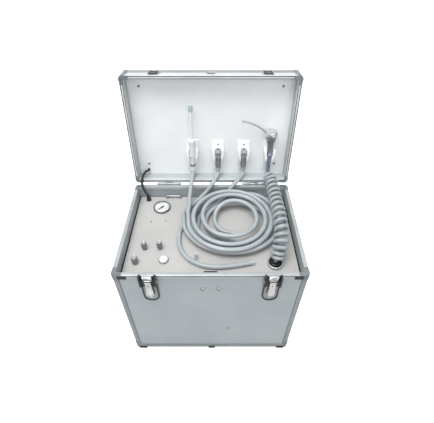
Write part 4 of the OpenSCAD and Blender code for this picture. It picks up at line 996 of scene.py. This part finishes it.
def coupling(i, node, body):
    """A metal connector: a fluted sleeve with a wide head whose front has chevron lines."""
    bm = bmesh.new()
    lathe(bm, [(5.3, 32), (5.9, 32), (6.5, 33.4), (6.5, 37), (5.9, 37.6), (5.9, 39.2), (6.4, 39.8), (6.2, 41),
               (6.2, 70), (6.5, 71), (6.5, 73.6), (8.0, 74.3), (8.2, 76), (8.2, 84.6), (7.8, 86.4), (6.4, 88.4),
               (6.0, 89.2), (6.0, 91.6), (5.4, 92.3), (4.0, 92.3), (4.0, 84.3), (0, 84.3), (0, 63), (5.3, 63),
               (5.3, 32)], 48)
    arc_of_blocks(bm, coupling_metal, 14, 6.2, (0.7, 0.9, 28), 55.5)
    for k in (78.2, 81.2, 84.2):
        for side in (-1, 1):
            bar = (turned(22 * side, "Z") @ moved(0, -8.15, k)
                   @ turned(32 * side, "Y"))
            tinted(bm, 1, block, (-3.0, -0.25, -0.45), (3.0, 0.6, 0.45), bar)
    tinted(bm, 2, lathe, [(0, 84.4), (3.9, 84.4), (3.9, 84.7), (0, 84.7)], 24)
    piece(bm, node + "_finished", (coupling_metal, shade_and_line_black, pressed_steel), body,
          in_holder(i), replaces=(node,))


def syringe():
    """A slim stem under a knurled funnel with a bright domed head."""
    bm = bmesh.new()
    lathe(bm, [(4.45, 30), (5.1, 30), (5.3, 31), (5.3, 34), (4.9, 34.6), (4.9, 40), (5.3, 41), (5.3, 73.4),
               (7.2, 74.3), (7.6, 75), (7.6, 78.8), (5.9, 81), (5.6, 88), (5.8, 96), (4.45, 96), (0, 94), (0, 64),
               (4.45, 64), (4.45, 30)], 40)
    tinted(bm, 1, lathe, [(0, 95), (5.8, 95), (6.4, 104), (7.3, 113), (11.2, 124.6), (12.6, 129), (0, 129)], 48)
    tinted(bm, 2, lathe, [(0, 128.6), (12.7, 128.6), (13.9, 131.6), (14.2, 134.5), (14.0, 138), (13.0, 140.6),
                          (10.6, 141.9), (0, 142.4)], 56)
    for v, r, lean, length in ((99.5, 6.2, 4, 8.2), (108, 6.9, 6, 8.2), (118.5, 9.4, 18, 12.5)):
        tinted(bm, 1, arc_of_blocks, funnel_grey, 22, r, (0.9, 0.7, length), v, lean=lean)
    for x in (4.6, -4.6):
        lathe(bm, [(0, 3.2), (4.0, 3.2), (4.0, 11), (0, 11)], 24, moved(x, 0, 121) @ UPRIGHT)
    piece(bm, "syringe_finished", (stem_steel, funnel_grey, chrome), "syringe", in_holder(3),
          replaces=("syringe_body",))


suction()
coupling(1, "coupling_left", "left_coupling")
coupling(2, "coupling_right", "right_coupling")
syringe()

# ---- Floor, backdrop and lights ----

FLOOR_SIZE = 8
FLOOR_GLOW = 0.68
WORLD_LIGHT = 0.5
# Name, place, what it points at (m), size (m) and power (W)
LAMPS = (("key", (-0.35, -0.4, 2.2), (0, 0, 0.3), 1.2, 38),
         ("fill", (0.4, -1.9, 1.3), (0, 0, 0.45), 1.6, 11),
         ("back", (0.2, 1.3, 1.9), (0, 0.1, 0.4), 1.4, 4))
SEEN_RAYS = ("Is Camera Ray", "Is Transmission Ray")
BACKDROP_RAYS = SEEN_RAYS + ("Is Glossy Ray",)


def backdrop_share(tree, rays):
    """1 on the rays that see the backdrop itself, 0 on those that carry its light to the object."""
    paths = add(tree, "ShaderNodeLightPath")
    share = paths.outputs[rays[0]]
    for ray in rays[1:]:
        share = add(tree, "ShaderNodeMath", {0: share, 1: paths.outputs[ray]}, operation="MAXIMUM").outputs[0]
    return share


def floor_finish():
    """White studio paper: its glow is seen but lights nothing, and the lamps' share of it takes the shadow."""
    made = bpy.data.materials.new("studio paper")
    made.use_nodes = True
    tree = made.node_tree
    shader = tree.nodes["Principled BSDF"]
    shader.inputs["Base Color"].default_value = linear("#E2E2E2")
    shader.inputs["Roughness"].default_value = 0.95
    shader.inputs["Specular IOR Level"].default_value = 0.0
    shader.inputs["Emission Color"].default_value = linear("#FFFFFF")
    glow = add(tree, "ShaderNodeMath", {0: backdrop_share(tree, SEEN_RAYS), 1: FLOOR_GLOW}, operation="MULTIPLY")
    tree.links.new(glow.outputs[0], shader.inputs["Emission Strength"])
    return made


def studio():
    """The floor, an even backdrop, and a key, a fill and a back light."""
    bm = bmesh.new()
    bmesh.ops.create_grid(bm, x_segments=1, y_segments=1, size=FLOOR_SIZE)
    mesh = bpy.data.meshes.new("floor")
    bm.to_mesh(mesh)
    bm.free()
    mesh.materials.append(floor_finish())
    ground = bpy.data.objects.new("floor", mesh)
    link(ground)
    world = bpy.data.worlds.new("studio")
    world.use_nodes = True
    tree = world.node_tree
    strength = add(tree, "ShaderNodeMapRange", {
        "Value": backdrop_share(tree, BACKDROP_RAYS), "To Min": WORLD_LIGHT, "To Max": 1.0})
    backdrop = tree.nodes["Background"]
    backdrop.inputs["Color"].default_value = linear("#FFFFFF")
    tree.links.new(strength.outputs[0], backdrop.inputs["Strength"])
    bpy.context.scene.world = world
    for name, at, aim, size, power in LAMPS:
        light = bpy.data.lights.new(name, "AREA")
        light.size = size
        light.energy = power
        lamp = bpy.data.objects.new(name, light)
        lamp.location = at
        lamp.rotation_euler = (Vector(aim) - Vector(at)).to_track_quat("-Z", "Y").to_euler()
        link(lamp)
    bpy.context.scene.view_settings.view_transform = "Standard"


studio()
